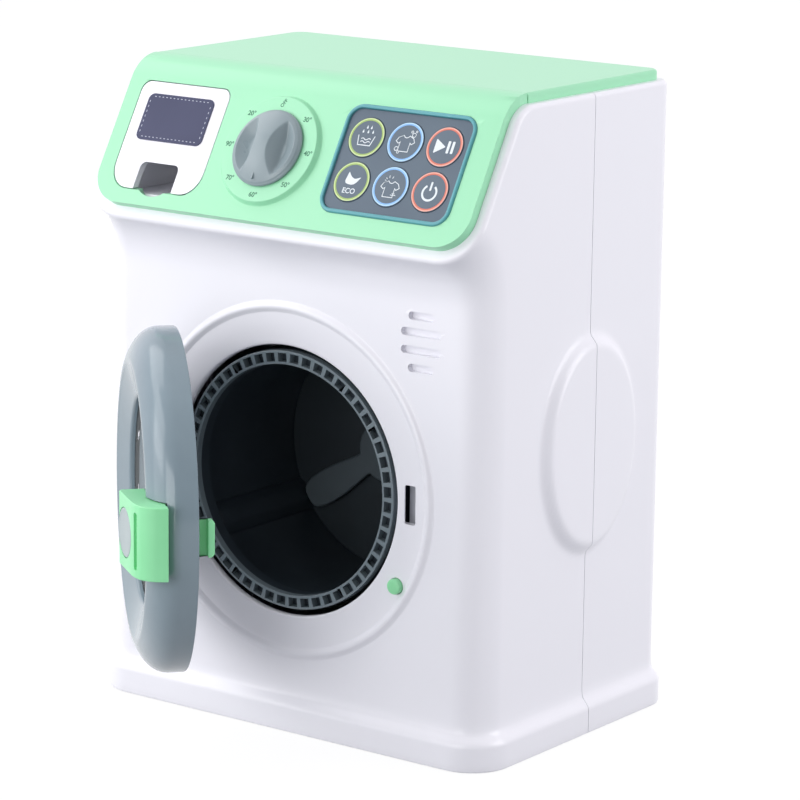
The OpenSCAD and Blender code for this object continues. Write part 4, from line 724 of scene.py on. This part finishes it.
def makeLatch():
    d = latch
    handle = extrudeOutline(softOutline(d["outline"]), 2 * d["half"], -d["half"])
    moveTo(handle, Matrix.Rotation(math.radians(90), 4, "X"))
    roundEdges(handle, 1.1, 4, 60)
    groove = extrudeOutline(roundedOutline(2.4, 21.8, 0.9, 5), 4, 0)
    cutAway(handle, moveTo(groove, Matrix.Translation((61.6, 0, 22.7)) @ Matrix.Rotation(math.radians(24), 4, "Y")))
    badge = Matrix.Translation((d["badgeX"], 0, 0)) @ Matrix.Rotation(math.radians(d["lean"]), 4, "Y")
    cutAway(handle, moveTo(addRound(9.6, 6, d["top"] - 0.6, 64), badge))
    reach, half = d["hookReach"], d["hookHalf"]
    hook = extrudeOutline([(-reach, -half + 1.2), (-reach + 1.0, -half), (4.8, -half), (4.8, half), (-reach + 1.0, half), (-reach, half - 1.2)], 3.6, -1.2)
    moveTo(hook, Matrix(((0, 0, 1, d["x"]), (0, 1, 0, 0), (1, 0, 0, 0), (0, 0, 0, 1))))
    faceOutwards(hook)
    cutAway(hook, addBox((d["x"] - 0.8, -9, -reach + 2.5), (d["x"] + 3, 9, 1.0)))
    roundEdges(hook, 0.35, 2)
    stem = addBox((d["x"] - 3.6, -d["hookHalf"], 0.2), (d["x"] + 2.6, d["hookHalf"], 12.6))
    barrel = moveTo(addRound(3.0, 19.6, -9.8, 32), Matrix.Translation((d["x"], 0, d["pinOut"])) @ Matrix.Rotation(math.radians(-90), 4, "X"))
    joinPieces(handle, hook, stem, barrel)
    moveTo(handle, standing)
    finishPiece(handle, "latchHandle", "latch", greenAbs, ["latch_handle"], angle=40)

    disc = spinProfile([(0.0, d["top"] - 0.55), (9.4, d["top"] - 0.55), (9.3, d["top"] - 0.1), (9.0, d["top"] + 0.08),
                        (8.3, d["top"] + 0.1), (8.1, d["top"]), (7.9, d["top"] - 0.02), (0.0, d["top"] + 0.02)], 72)
    moveTo(disc, standing @ badge)
    finishPiece(disc, "latchBadge", "latch", badgeAbs, ["latch_badge"], angle=50)


# ---- drum ----
drumPlan = {"radius": 52.0, "front": 1.0, "ring": 3.0, "innerRadius": 46.3, "length": 70.0, "wall": 2.0, "windows": 52, "window": 3.5,
            "vane": {"hub": 13.0, "arm": 34.0, "spread": 14.0, "turn": 213, "rise": 4.0}, "paddleShare": 0.22}


def makeDrumRing():
    d = drumPlan
    low, high = d["radius"] - 0.1, d["innerRadius"]
    middle = (low + high) / 2
    ring = spinProfile([(low - 0.5, 0.0), (low - 0.15, -0.15), (low, -0.5), (low, -d["ring"]), (high, -d["ring"]),
                        (high, -0.5), (high + 0.15, -0.15), (high + 0.5, 0.0)], 192)
    cells = []
    for i in range(d["windows"]):
        turn = Matrix.Rotation(2 * math.pi * (i + 0.5) / d["windows"], 4, "Z")
        half = d["window"] / 2
        cell = addBox((middle - half, -half - 0.35, -6.0), (middle + half, half + 0.35, 2.0))
        cells.append(moveTo(cell, turn))
    cutAway(ring, joinPieces(*cells))
    pickOnly(ring)
    bpy.ops.object.mode_set(mode="EDIT")
    bpy.ops.mesh.select_mode(type="EDGE")
    bpy.ops.mesh.select_all(action="DESELECT")
    bpy.ops.mesh.edges_select_sharp(sharpness=math.radians(60))
    bpy.ops.object.mode_set(mode="OBJECT")
    points = ring.data.vertices
    for edge in ring.data.edges:
        ends = [points[i].co for i in edge.vertices]
        edge.select = edge.select and all(abs(p.z) < 0.01 for p in ends)
    bpy.ops.object.mode_set(mode="EDIT")
    bpy.ops.mesh.bevel(offset=0.3, segments=2, clamp_overlap=True)
    bpy.ops.object.mode_set(mode="OBJECT")
    moveTo(ring, facing(0, cabinet["frontY"] + d["front"], door["z"]))
    finishPiece(ring, "drumRing", "drum", ringAbs, ["drum_ring"])
    # the back part of the grey drum ring is drawn in the dark drum colour instead of the ring's grey: painted shade
    # inside the drum mouth
    collar = spinProfile([(high, -d["ring"]), (d["radius"] - 2.05, -d["ring"]), (d["radius"] - 2.05, -8.0), (high, -8.0)], 128)
    moveTo(collar, facing(0, cabinet["frontY"] + d["front"], door["z"]))
    finishPiece(collar, "drumCollarPaintedShade", "drum", drumAbs)


def makeDrumVane():
    # three-armed relief on the back wall of the drum
    d = drumPlan["vane"]
    outline = []
    for i in range(180):
        angle = 2 * i
        aside = min(abs((angle - d["turn"] - 120 * k + 180) % 360 - 180) for k in range(3))
        r = d["hub"] + d["arm"] * math.exp(-(aside / d["spread"]) ** 4)
        outline.append((r * math.cos(math.radians(angle)), r * math.sin(math.radians(angle))))
    vane = extrudeOutline(outline, d["rise"], 0)
    roundEdges(vane, 1.4, 3, 60)
    moveTo(vane, facing(0, cabinet["frontY"] + drumPlan["front"] + drumPlan["length"] - 2.6, door["z"]))
    finishPiece(vane, "drumVane", "drum", vaneAbs)
    back = addRound(49.6, 0.4, 0, 96)
    moveTo(back, facing(0, cabinet["frontY"] + drumPlan["front"] + drumPlan["length"] - 2.6, door["z"]))
    finishPiece(back, "drumBack", "drum", backAbs)


def makePaddles():
    # low soft ridges along the wall
    paddles = copyNode("drum_paddles")
    wall = drumPlan["radius"] - drumPlan["wall"]
    for vertex in paddles.data.vertices:
        x, z = vertex.co.x, vertex.co.z - door["z"]
        r = math.hypot(x, z)
        share = (wall - (wall - r) * drumPlan["paddleShare"]) / r
        vertex.co.x, vertex.co.z = x * share, door["z"] + z * share
    roundEdges(paddles, 1.2, 3, 20)
    finishPiece(paddles, "drumPaddles", "drum", drumAbs, ["drum_paddles"])


# ---- dial ----
scoop = {"floor": 0.5, "barHalf": 2.9, "flare": 2.6, "tip": 12.1, "rim": 8.9, "slope": 1.3, "wallSlope": 0.52}


def softMin(a, b, width):
    h = min(max(0.5 + (b - a) / (2 * width), 0), 1)
    return b + (a - b) * h - width * h * (1 - h)


def knobHeight(u, v, rest):
    r = math.hypot(u, v)
    dome = dial["height"] - dial["fall"] * (r / dial["radius"]) ** 2
    side = abs(u) - scoop["barHalf"] - scoop["flare"] * (v / scoop["tip"]) ** 2
    barSide = dial["height"] + 0.15 - scoop["slope"] * side
    rimSide = scoop["floor"] + (r - scoop["rim"]) * scoop["wallSlope"]
    hollow = -softMin(-barSide, -scoop["floor"], 0.5)
    hollow = -softMin(-hollow, -rimSide, 0.35)
    return min(rest, softMin(dome, hollow, 0.16))


def makeKnob():
    radius, gap = dial["radius"], 0.3
    edge, curl = dial["height"] - dial["fall"], 1.0
    rings = 74
    profile = ([(3.9, gap - 14.0), (3.9, gap), (radius - 0.5, gap), (radius - 0.1, gap + 0.15), (radius, gap + 0.5), (radius, edge - curl)]
               + [(radius - curl + curl * math.cos(math.radians(a)), edge - curl + curl * math.sin(math.radians(a))) for a in (15, 30, 45, 60, 75)])
    tops = [(radius - curl) * (1 - i / rings) for i in range(rings + 1)]
    knob = spinProfile(profile + [(r, dial["height"]) for r in tops] + [(0.0, gap - 14.0)], 144)
    for vertex in knob.data.vertices:
        u, v, h = vertex.co
        if h > dial["height"] - 0.01:
            r = math.hypot(u, v)
            vertex.co.z = knobHeight(u, v, dial["height"])
    tick = extrudeOutline(roundedOutline(0.8, 2.6, 0.35, 4), 2.0, 0)
    moveTo(tick, Matrix.Translation((-0.4, -12.7, dial["height"] - 4.1)))
    moveTo(knob, onSlope(dial["u"], dial["v"], faceC + dial["discHeight"]))
    finishPiece(knob, "dialKnob", "dial", knobAbs, ["dial_knob"], angle=60, weighted=False)
    moveTo(tick, onSlope(dial["u"], dial["v"], faceC + dial["discHeight"]))
    finishPiece(tick, "dialTick", "dial", knobAbs)


def addText(words, size, turn=0.0, thick=0.03, bold=0.0):
    # printed letters, converted to a flat mesh centred on the origin
    clearSelection()
    bpy.ops.object.text_add(location=(0, 0, 0))
    letters = bpy.context.object
    letters.data.body = words
    letters.data.size = size
    letters.data.extrude = thick
    letters.data.offset = bold
    letters.data.align_x, letters.data.align_y = "CENTER", "CENTER"
    pickOnly(letters)
    bpy.ops.object.convert(target="MESH")
    return moveTo(bpy.context.object, Matrix.Rotation(math.radians(turn), 4, "Z"))


def makeDialMarks():
    words = ["OFF", "30°", "40°", "50°", "60°", "70°", "90°", "20°"]
    marks = []
    for i, word in enumerate(words):
        angle = math.radians(90 - 45 * i)
        letters = addText(word, 2.8 if i else 2.1, turn=0 if i else 62, bold=0.05)
        moveTo(letters, onSlope(dial["u"] + 19.3 * math.cos(angle), dial["v"] + 19.3 * math.sin(angle),
                                faceC + dial["discHeight"] + 0.01))
        marks.append(letters)
    joinPieces(*marks)
    finishPiece(marks[0], "dialMarks", "cabinet", inkGreen, weighted=False)


# ---- keypad ----
pad = {"lip": 1.6, "rise": 0.8, "drop": -0.2, "panelThick": 2.0, "keyTop": 0.12, "flange": 8.7}
keyPlan = [("key_soak", -1, 0.5, "green"), ("key_bubbles", 0, 0.5, "blue"), ("key_start_pause", 1, 0.5, "red"),
           ("key_leaf", -1, -0.5, "green"), ("key_shirt", 0, -0.5, "blue"), ("key_power", 1, -0.5, "red")]


def strokeMesh(points, width, closed=False, thick=0.05):
    # a flat printed line that follows the points
    if closed:
        points = list(points) + [points[0], points[1]]
    places = [Vector(p) for p in points]
    left, right = [], []
    for i, here in enumerate(places):
        before = (here - places[max(i - 1, 0)]).normalized() if i else (places[1] - here).normalized()
        after = (places[min(i + 1, len(places) - 1)] - here).normalized() if i < len(places) - 1 else before
        along = (before + after).normalized()
        across = Vector((-along.y, along.x))
        stretch = width / 2 / max(abs(across.dot(Vector((-after.y, after.x)))), 0.5)
        left.append(here + across * stretch)
        right.append(here - across * stretch)
    clearSelection()
    bpy.ops.mesh.primitive_grid_add(x_subdivisions=len(places) - 1, y_subdivisions=1, size=2, location=(0, 0, 0))
    ribbon = bpy.context.object
    for vertex in ribbon.data.vertices:
        i = round((vertex.co.x + 1) / 2 * (len(places) - 1))
        spot = left[i] if vertex.co.y > 0 else right[i]
        vertex.co = (spot.x, spot.y, 0)
    return useModifier(ribbon, "SOLIDIFY", thickness=thick, offset=1)


def circlePoints(x, y, radius, steps=14):
    return arcPoints(x, y, radius, 0, 360, steps)[:-1]


def keySymbol(name):
    parts = []
    shirt = [(-1.4, 2.6), (-3.4, 1.7), (-4.3, 0.1), (-3.0, -0.8), (-2.3, -0.2), (-2.3, -3.9), (2.3, -3.9), (2.3, -0.2),
             (3.0, -0.8), (4.3, 0.1), (3.4, 1.7), (1.4, 2.6), (0.75, 1.9), (0.0, 1.7), (-0.75, 1.9)]
    if name == "key_soak":
        parts.append(strokeMesh([(-3.9, 0.7), (-3.1, -3.3), (2.6, -3.3), (3.9, 0.7)], 0.36))
        for low in (-0.75, -1.95):
            parts.append(strokeMesh([(-2.2 + 4.4 * i / 12, low + 0.36 * math.sin(i * math.pi / 4)) for i in range(13)], 0.32))
        for x, y in ((-0.9, 4.1), (1.0, 4.1), (-2.3, 2.3), (0.05, 2.3), (2.3, 2.3)):
            drop = arcPoints(x, y - 0.25, 0.38, -200, 20, 8) + [(x, y + 0.85)]
            parts.append(extrudeOutline(drop, 0.05, 0))
    elif name == "key_bubbles":
        parts.append(strokeMesh(shirt, 0.3, closed=True))
        for x, y, r in ((3.1, 3.1, 0.85), (1.9, 4.3, 0.45), (3.9, 4.6, 0.35), (-3.2, -3.0, 0.8), (-2.0, -4.3, 0.5)):
            parts.append(strokeMesh(circlePoints(x, y, r), 0.26, closed=True))
    elif name == "key_start_pause":
        parts.append(extrudeOutline(softOutline([((-4.4, -3.0), 0.6), ((-4.4, 3.0), 0.6), ((0.5, 0.0), 0.6)][::-1]), 0.05, 0))
        for x in (1.75, 3.75):
            parts.append(extrudeOutline(roundedOutline(1.15, 5.0, 0.35, 4, x, 0), 0.05, 0))
    elif name == "key_leaf":
        leaf = [((-2.3, 3.9), 0.3), ((-3.2, -0.9), 1.6), ((1.5, -1.5), 2.0), ((3.9, 2.1), 0.3), ((1.0, 1.0), 1.2), ((-0.9, 2.2), 0.8)]
        parts.append(extrudeOutline(softOutline(leaf), 0.05, 0))
        parts.append(moveTo(addText("ECO", 3.0, thick=0.025, bold=0.04), Matrix.Translation((0, -3.9, 0.025))))
    elif name == "key_shirt":
        parts.append(strokeMesh([(x, y - 0.4) for x, y in shirt], 0.3, closed=True))
        for a, b in (((-3.0, 3.4), (-2.4, 2.8)), ((-1.7, 4.4), (-1.5, 3.4)), ((0.2, 4.1), (-0.2, 3.3)), ((-3.4, 2.4), (-2.7, 2.2)),
                     ((1.2, -3.3), (3.6, -3.3)), ((1.7, -2.7), (3.0, -2.7))):
            parts.append(strokeMesh([a, b], 0.28))
    else:
        parts.append(strokeMesh(arcPoints(0, -0.4, 3.1, 125, 415, 30), 0.85))
        parts.append(extrudeOutline(roundedOutline(0.85, 3.6, 0.3, 4, 0, 2.2), 0.05, 0))
    return joinPieces(*parts)


def makeKeypad():
    w, h = keypad["width"], keypad["height"]
    top = pad["rise"]
    place = onSlope(keypad["u"], keypad["v"], faceC)
    frameRing = extrudeOutline(roundedOutline(w, h, 7, 12), 4 + top, -4)
    roundEdges(frameRing, 0.75, 4, 60)
    cutAway(frameRing, extrudeOutline(roundedOutline(w + 4, h + 1.6, 7, 8), 1.6, -5.5), "UNION")
    inner = [w - 2 * pad["lip"] - 0.1, h - 2 * pad["lip"] - 0.1]
    cutAway(frameRing, extrudeOutline(roundedOutline(inner[0], inner[1], 5, 10), 12, pad["drop"] - pad["panelThick"]))
    cutAway(frameRing, extrudeOutline(roundedOutline(inner[0] - 1.5, inner[1] - 1.5, 4.4, 10), 30, -20))
    pickOnly(frameRing)
    bpy.ops.object.mode_set(mode="EDIT")
    bpy.ops.mesh.select_mode(type="EDGE")
    bpy.ops.mesh.select_all(action="DESELECT")
    bpy.ops.mesh.edges_select_sharp(sharpness=math.radians(60))
    bpy.ops.object.mode_set(mode="OBJECT")
    points = frameRing.data.vertices
    for edge in frameRing.data.edges:
        ends = [points[i].co for i in edge.vertices]
        edge.select = edge.select and all(abs(p.z - top) < 0.01 for p in ends)
    bpy.ops.object.mode_set(mode="EDIT")
    bpy.ops.mesh.bevel(offset=0.5, segments=3, clamp_overlap=True)
    bpy.ops.object.mode_set(mode="OBJECT")
    posts = [moveTo(addRound(1.6, 3.0, -8.0, 20), Matrix.Translation((x * (w / 2 - 2.4), y * (h / 2 - 2.4), 0)))
             for x in (-1, 1) for y in (-1, 1)]
    joinPieces(frameRing, *posts)
    moveTo(frameRing, place)
    finishPiece(frameRing, "keypadFrame", "cabinet", tealAbs, ["keypad_frame"])

    panel = extrudeOutline(roundedOutline(inner[0] - 0.1, inner[1] - 0.1, 5, 10), pad["panelThick"], pad["drop"] - pad["panelThick"])
    spots = [(i * keypad["pitch"], j * keypad["pitch"]) for _, i, j, _ in keyPlan]
    for x, y in spots:
        cutAway(panel, moveTo(addRound(keypad["keyRadius"] + 0.12, 8, -5, 64), Matrix.Translation((x, y, 0))))
    roundEdges(panel, 0.15, 2, 60)
    moveTo(panel, place)
    finishPiece(panel, "keypadPanel", "cabinet", panelPrint, ["keypad_panel"])

    for (node, _, _, ink), (x, y) in zip(keyPlan, spots):
        words = node.split("_")
        name = words[0] + "".join(word.title() for word in words[1:])
        r, high, low = keypad["keyRadius"], pad["keyTop"], pad["drop"] - pad["panelThick"] - 0.3
        key = spinProfile([(0.0, low - 1.2), (pad["flange"], low - 1.2), (pad["flange"], low), (r, low), (r, high - 0.4),
                           (r - 0.06, high - 0.18), (r - 0.2, high - 0.05), (r - 0.45, high), (0.0, high)], 72)
        stem = addRound(2.5, 3.2, low - 4.0, 24)
        joinPieces(key, stem)
        spot = place @ Matrix.Translation((x, y, 0))
        moveTo(key, spot)
        finishPiece(key, name, node + "_body", keyPlastic, [node])
        for start, end, tone in ((7.45, 7.95, 0), (6.9, 7.45, 1)):
            band = spinProfile([(start, high - 0.05), (end, high - 0.05), (end, high + 0.05 - 0.02 * tone), (start, high + 0.05 - 0.02 * tone)], 72)
            moveTo(band, spot)
            finishPiece(band, name + ("RingOuter" if tone == 0 else "RingInner"), node + "_body", ringPrint[ink][tone])
        symbol = moveTo(keySymbol(node), spot @ Matrix.Translation((0, 0, high + 0.005)))
        finishPiece(symbol, name + "Symbol", node + "_body", inkWhite, weighted=False)


# ---- drawer and small pieces ----
def makeDrawer():
    drawer = copyNode("drawer")
    roundEdges(drawer, 0.5, 3, 50)
    finishPiece(drawer, "drawer", "drawer_body", whiteAbs, ["drawer"])
    housing = copyNode("drawer_housing")
    finishPiece(housing, "drawerHousing", "cabinet", whiteAbs, ["drawer_housing"])
    place = onSlope(drawerPlan["x"] - 0.4, edgeV + 37.1, faceC)
    label = extrudeOutline(roundedOutline(33.5, 19.9, 2.8, 8), 0.4, 0)
    roundEdges(label, 0.12, 2, 60)
    moveTo(label, place)
    finishPiece(label, "drawerLabel", "drawer_body", labelVinyl, ["drawer_label"])
    stitches = []
    for x0, y0, x1, y1, count in ((-13.4, 8.6, 13.4, 8.6, 15), (-13.4, -8.6, 13.4, -8.6, 15), (-15.4, -6.4, -15.4, 6.4, 7), (15.4, -6.4, 15.4, 6.4, 7)):
        for i in range(count):
            t0, t1 = i / (count - 1) - 0.2 / (count - 1), i / (count - 1) + 0.2 / (count - 1)
            a = (x0 + (x1 - x0) * t0, y0 + (y1 - y0) * t0)
            b = (x0 + (x1 - x0) * t1, y0 + (y1 - y0) * t1)
            stitches.append(strokeMesh([a, b], 0.3, thick=0.03))
    joinPieces(*stitches)
    moveTo(stitches[0], place @ Matrix.Translation((0, 0, 0.405)))
    finishPiece(stitches[0], "labelStitching", "drawer_body", inkPale, weighted=False)


def makeSmallPieces():
    peg = spinProfile([(0.0, -9.0), (1.8, -9.0), (1.8, 0.0), (5.1, 0.0), (5.1, 1.2), (3.1, 1.2), (3.1, 5.5), (3.0, 5.85),
                       (2.7, 6.1), (2.1, 6.28), (1.1, 6.38), (0.0, 6.4)], 64)
    moveTo(peg, facing(frontDetails["pegX"], cabinet["frontY"] + 4, frontDetails["pegZ"]))
    finishPiece(peg, "doorSwitchPeg", "peg", greenAbs, ["door_switch_peg"], angle=40)
    catch = copyNode("latch_catch")
    roundEdges(catch, 0.3, 2, 50)
    finishPiece(catch, "latchCatch", "cabinet", catchAbs, ["latch_catch"])
    model = copyNode("speaker_grille")
    corners = [vertex.co.copy() for vertex in model.data.vertices]
    bpy.data.objects.remove(model)
    grille = addBox([min(c[i] for c in corners) for i in range(3)], [max(c[i] for c in corners) for i in range(3)])
    finishPiece(grille, "speakerGrille", "cabinet", whiteAbs, ["speaker_grille"])


makeDoorRing()
makeDoorWindow()
makeDoorBack()
makeLatch()
print("door and latch made")
makeDrumRing()
makeDrumVane()
makePaddles()
print("drum ring, vane and paddles made")
makeKnob()
makeDialMarks()
print("dial made")
makeKeypad()
print("keypad made")
makeDrawer()
makeSmallPieces()
print("drawer and small pieces made")


# ---- carried-over CAD nodes ----
nodeFinish = {
    "steel": (steel, ["shell_screws", "carrier_screws", "gearbox_screws", "battery_cover_screw", "door_screws", "hinge_pin",
                      "latch_pin", "latch_spring", "peg_spring", "drum_shaft", "motor_shaft", "motor", "battery_contacts",
                      "speaker_basket"]),
    "inner": (innerAbs, ["drum_carrier", "gearbox_plate", "gearbox_posts", "peg_holder"]),
    "white": (whiteAbs, ["battery_cover", "drawer", "drawer_housing", "speaker_grille", "front_shell", "rear_shell"]),
    "mint": (mintAbs, ["control_fascia", "top_cover"]),
    "teal": (tealAbs, ["keypad_frame"]),
    "panel": (panelPrint, ["keypad_panel"]),
    "key": (keyPlastic, ["key_soak", "key_bubbles", "key_start_pause", "key_leaf", "key_shirt", "key_power"]),
    "knob": (knobAbs, ["dial_knob"]),
    "black": (blackAbs, ["dial_switch", "battery_box"]),
    "board": (boardResin, ["keypad_board", "main_board"]),
    "label": (labelVinyl, ["drawer_label"]),
    "drum": (drumAbs, ["drum_barrel", "drum_paddles"]),
    "ring": (ringAbs, ["drum_ring"]),
    "gear": (gearNylon, ["drum_gear"]),
    "bronze": (bronze, ["drum_bushes"]),
    "brass": (brass, ["motor_pinion"]),
    "cone": (coneFelt, ["speaker_cone"]),
    "magnet": (magnetIron, ["speaker_magnet"]),
    "cells": (sleeveFilm, ["batteries"]),
    "door": (doorAbs, ["door_ring", "door_back"]),
    "window": (clearStyrene, ["door_window"]),
    "green": (greenAbs, ["latch_handle", "door_switch_peg"]),
    "badge": (badgeAbs, ["latch_badge"]),
    "catch": (catchAbs, ["latch_catch"]),
}
for material, nodes in nodeFinish.values():
    for node in nodes:
        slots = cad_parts[node].material_slots
        for place in slots:
            place.material = material
print("CAD nodes finished")


# ---- floor, light and camera ----
def makeStage():
    clearSelection()
    bpy.ops.mesh.primitive_plane_add(size=6, location=(0, 0, -0.0002))
    floor = bpy.context.object
    floor.name = "floor"
    material, tree, surface, place = startMaterial("paintedStudioFloor", Roughness=0.9)
    surface.inputs["Base Color"].default_value = hexLinear(studio["floorBounce"])
    seen = addNode(tree, "ShaderNodeLightPath")
    white = addNode(tree, "ShaderNodeEmission", {"Color": hexLinear("FFFFFF"), "Strength": 1.32})
    gleam = addNode(tree, "ShaderNodeMath", {0: seen.outputs["Is Camera Ray"], 1: seen.outputs["Is Glossy Ray"]}, operation="ADD", use_clamp=True)
    share = addNode(tree, "ShaderNodeMath", {0: gleam.outputs[0], 1: 0.7}, operation="MULTIPLY")
    blend = addNode(tree, "ShaderNodeMixShader", {0: share.outputs[0], 1: surface.outputs[0], 2: white.outputs[0]})
    tree.links.new(blend.outputs[0], tree.nodes["Material Output"].inputs["Surface"])
    floor.data.materials.append(material)


studio = {
    "level": 1.05, "towardsCamera": 0.22, "cameraSide": (0.594, -0.796, 0.117), "tint": "FAF7FC", "floorBounce": "8E9096",
    "lamps": {
        "lowLeftSoftbox": ((-0.9, -1.05, 0.28), (0, 0, 0.14), 0.9, 2.7),
        "highLeftSoftbox": ((-0.9, -0.9, 0.75), (0, 0, 0.16), 0.8, 4.3),
        "topLeftSoftbox": ((-0.8, -0.1, 0.9), (0, 0, 0.2), 0.7, 2.6),
        "frontSoftbox": ((0.0, -1.4, 0.3), (0, 0, 0.14), 0.9, 8.8),
        "rightSoftbox": ((1.2, 0.45, 0.5), (0.05, 0, 0.14), 0.8, 7.4),
    },
}


def makeLight():
    world = bpy.data.worlds.new("studio") if not bpy.context.scene.world else bpy.context.scene.world
    bpy.context.scene.world = world
    world.use_nodes = True
    tree = world.node_tree
    sky = tree.nodes["Background"]
    seen = addNode(tree, "ShaderNodeLightPath")
    plain = addNode(tree, "ShaderNodeMath", {0: seen.outputs["Is Camera Ray"], 1: seen.outputs["Is Transmission Ray"]}, operation="ADD", use_clamp=True)
    # the tent is darker on the side where the camera stands
    aim = addNode(tree, "ShaderNodeVectorMath", {0: addNode(tree, "ShaderNodeTexCoord").outputs["Generated"], 1: studio["cameraSide"]},
                  operation="DOT_PRODUCT")
    rise = addNode(tree, "ShaderNodeMapRange", {"Value": aim.outputs["Value"], "To Min": studio["level"], "To Max": studio["towardsCamera"]})
    level = addNode(tree, "ShaderNodeMix", {0: plain.outputs[0], 2: rise.outputs["Result"], 3: 1.0}, data_type="FLOAT")
    hue = addNode(tree, "ShaderNodeMix", {0: plain.outputs[0], 6: hexLinear(studio["tint"]), 7: hexLinear("FFFFFF")}, data_type="RGBA")
    tree.links.new(hue.outputs[2], sky.inputs["Color"])
    tree.links.new(level.outputs[0], sky.inputs["Strength"])
    for name, (place, target, size, power) in studio["lamps"].items():
        lamp = bpy.data.lights.new(name, "AREA")
        lamp.shape, lamp.size, lamp.energy = "SQUARE", size, power
        holder = bpy.data.objects.new(name, lamp)
        bpy.context.collection.objects.link(holder)
        holder.location = place
        holder.rotation_euler = (Vector(target) - Vector(place)).to_track_quat("-Z", "Y").to_euler()


cameraPlace = {"at": (0.863536, -1.156107, 0.447288), "azimuth": 36.483, "elevation": 12.658, "roll": 0.7065, "lens": 164.51}


def makeCamera():
    c = cameraPlace
    azimuth, elevation, roll = (math.radians(c[key]) for key in ("azimuth", "elevation", "roll"))
    forward = Vector((-math.sin(azimuth) * math.cos(elevation), math.cos(azimuth) * math.cos(elevation), -math.sin(elevation)))
    right = Vector((math.cos(azimuth), math.sin(azimuth), 0))
    up = right.cross(forward)
    across = math.cos(roll) * right + math.sin(roll) * up
    upwards = -math.sin(roll) * right + math.cos(roll) * up
    data = bpy.data.cameras.new("photoCamera")
    data.lens, data.sensor_width, data.clip_start, data.clip_end = c["lens"], 36.0, 0.05, 20.0
    camera = bpy.data.objects.new("photoCamera", data)
    bpy.context.collection.objects.link(camera)
    turn = Matrix((across, upwards, -forward)).transposed().to_4x4()
    camera.matrix_world = Matrix.Translation(c["at"]) @ turn
    bpy.context.scene.camera = camera


makeStage()
makeLight()
makeCamera()
bpy.context.scene.view_settings.view_transform = "Standard"
print("stage, light and camera set")
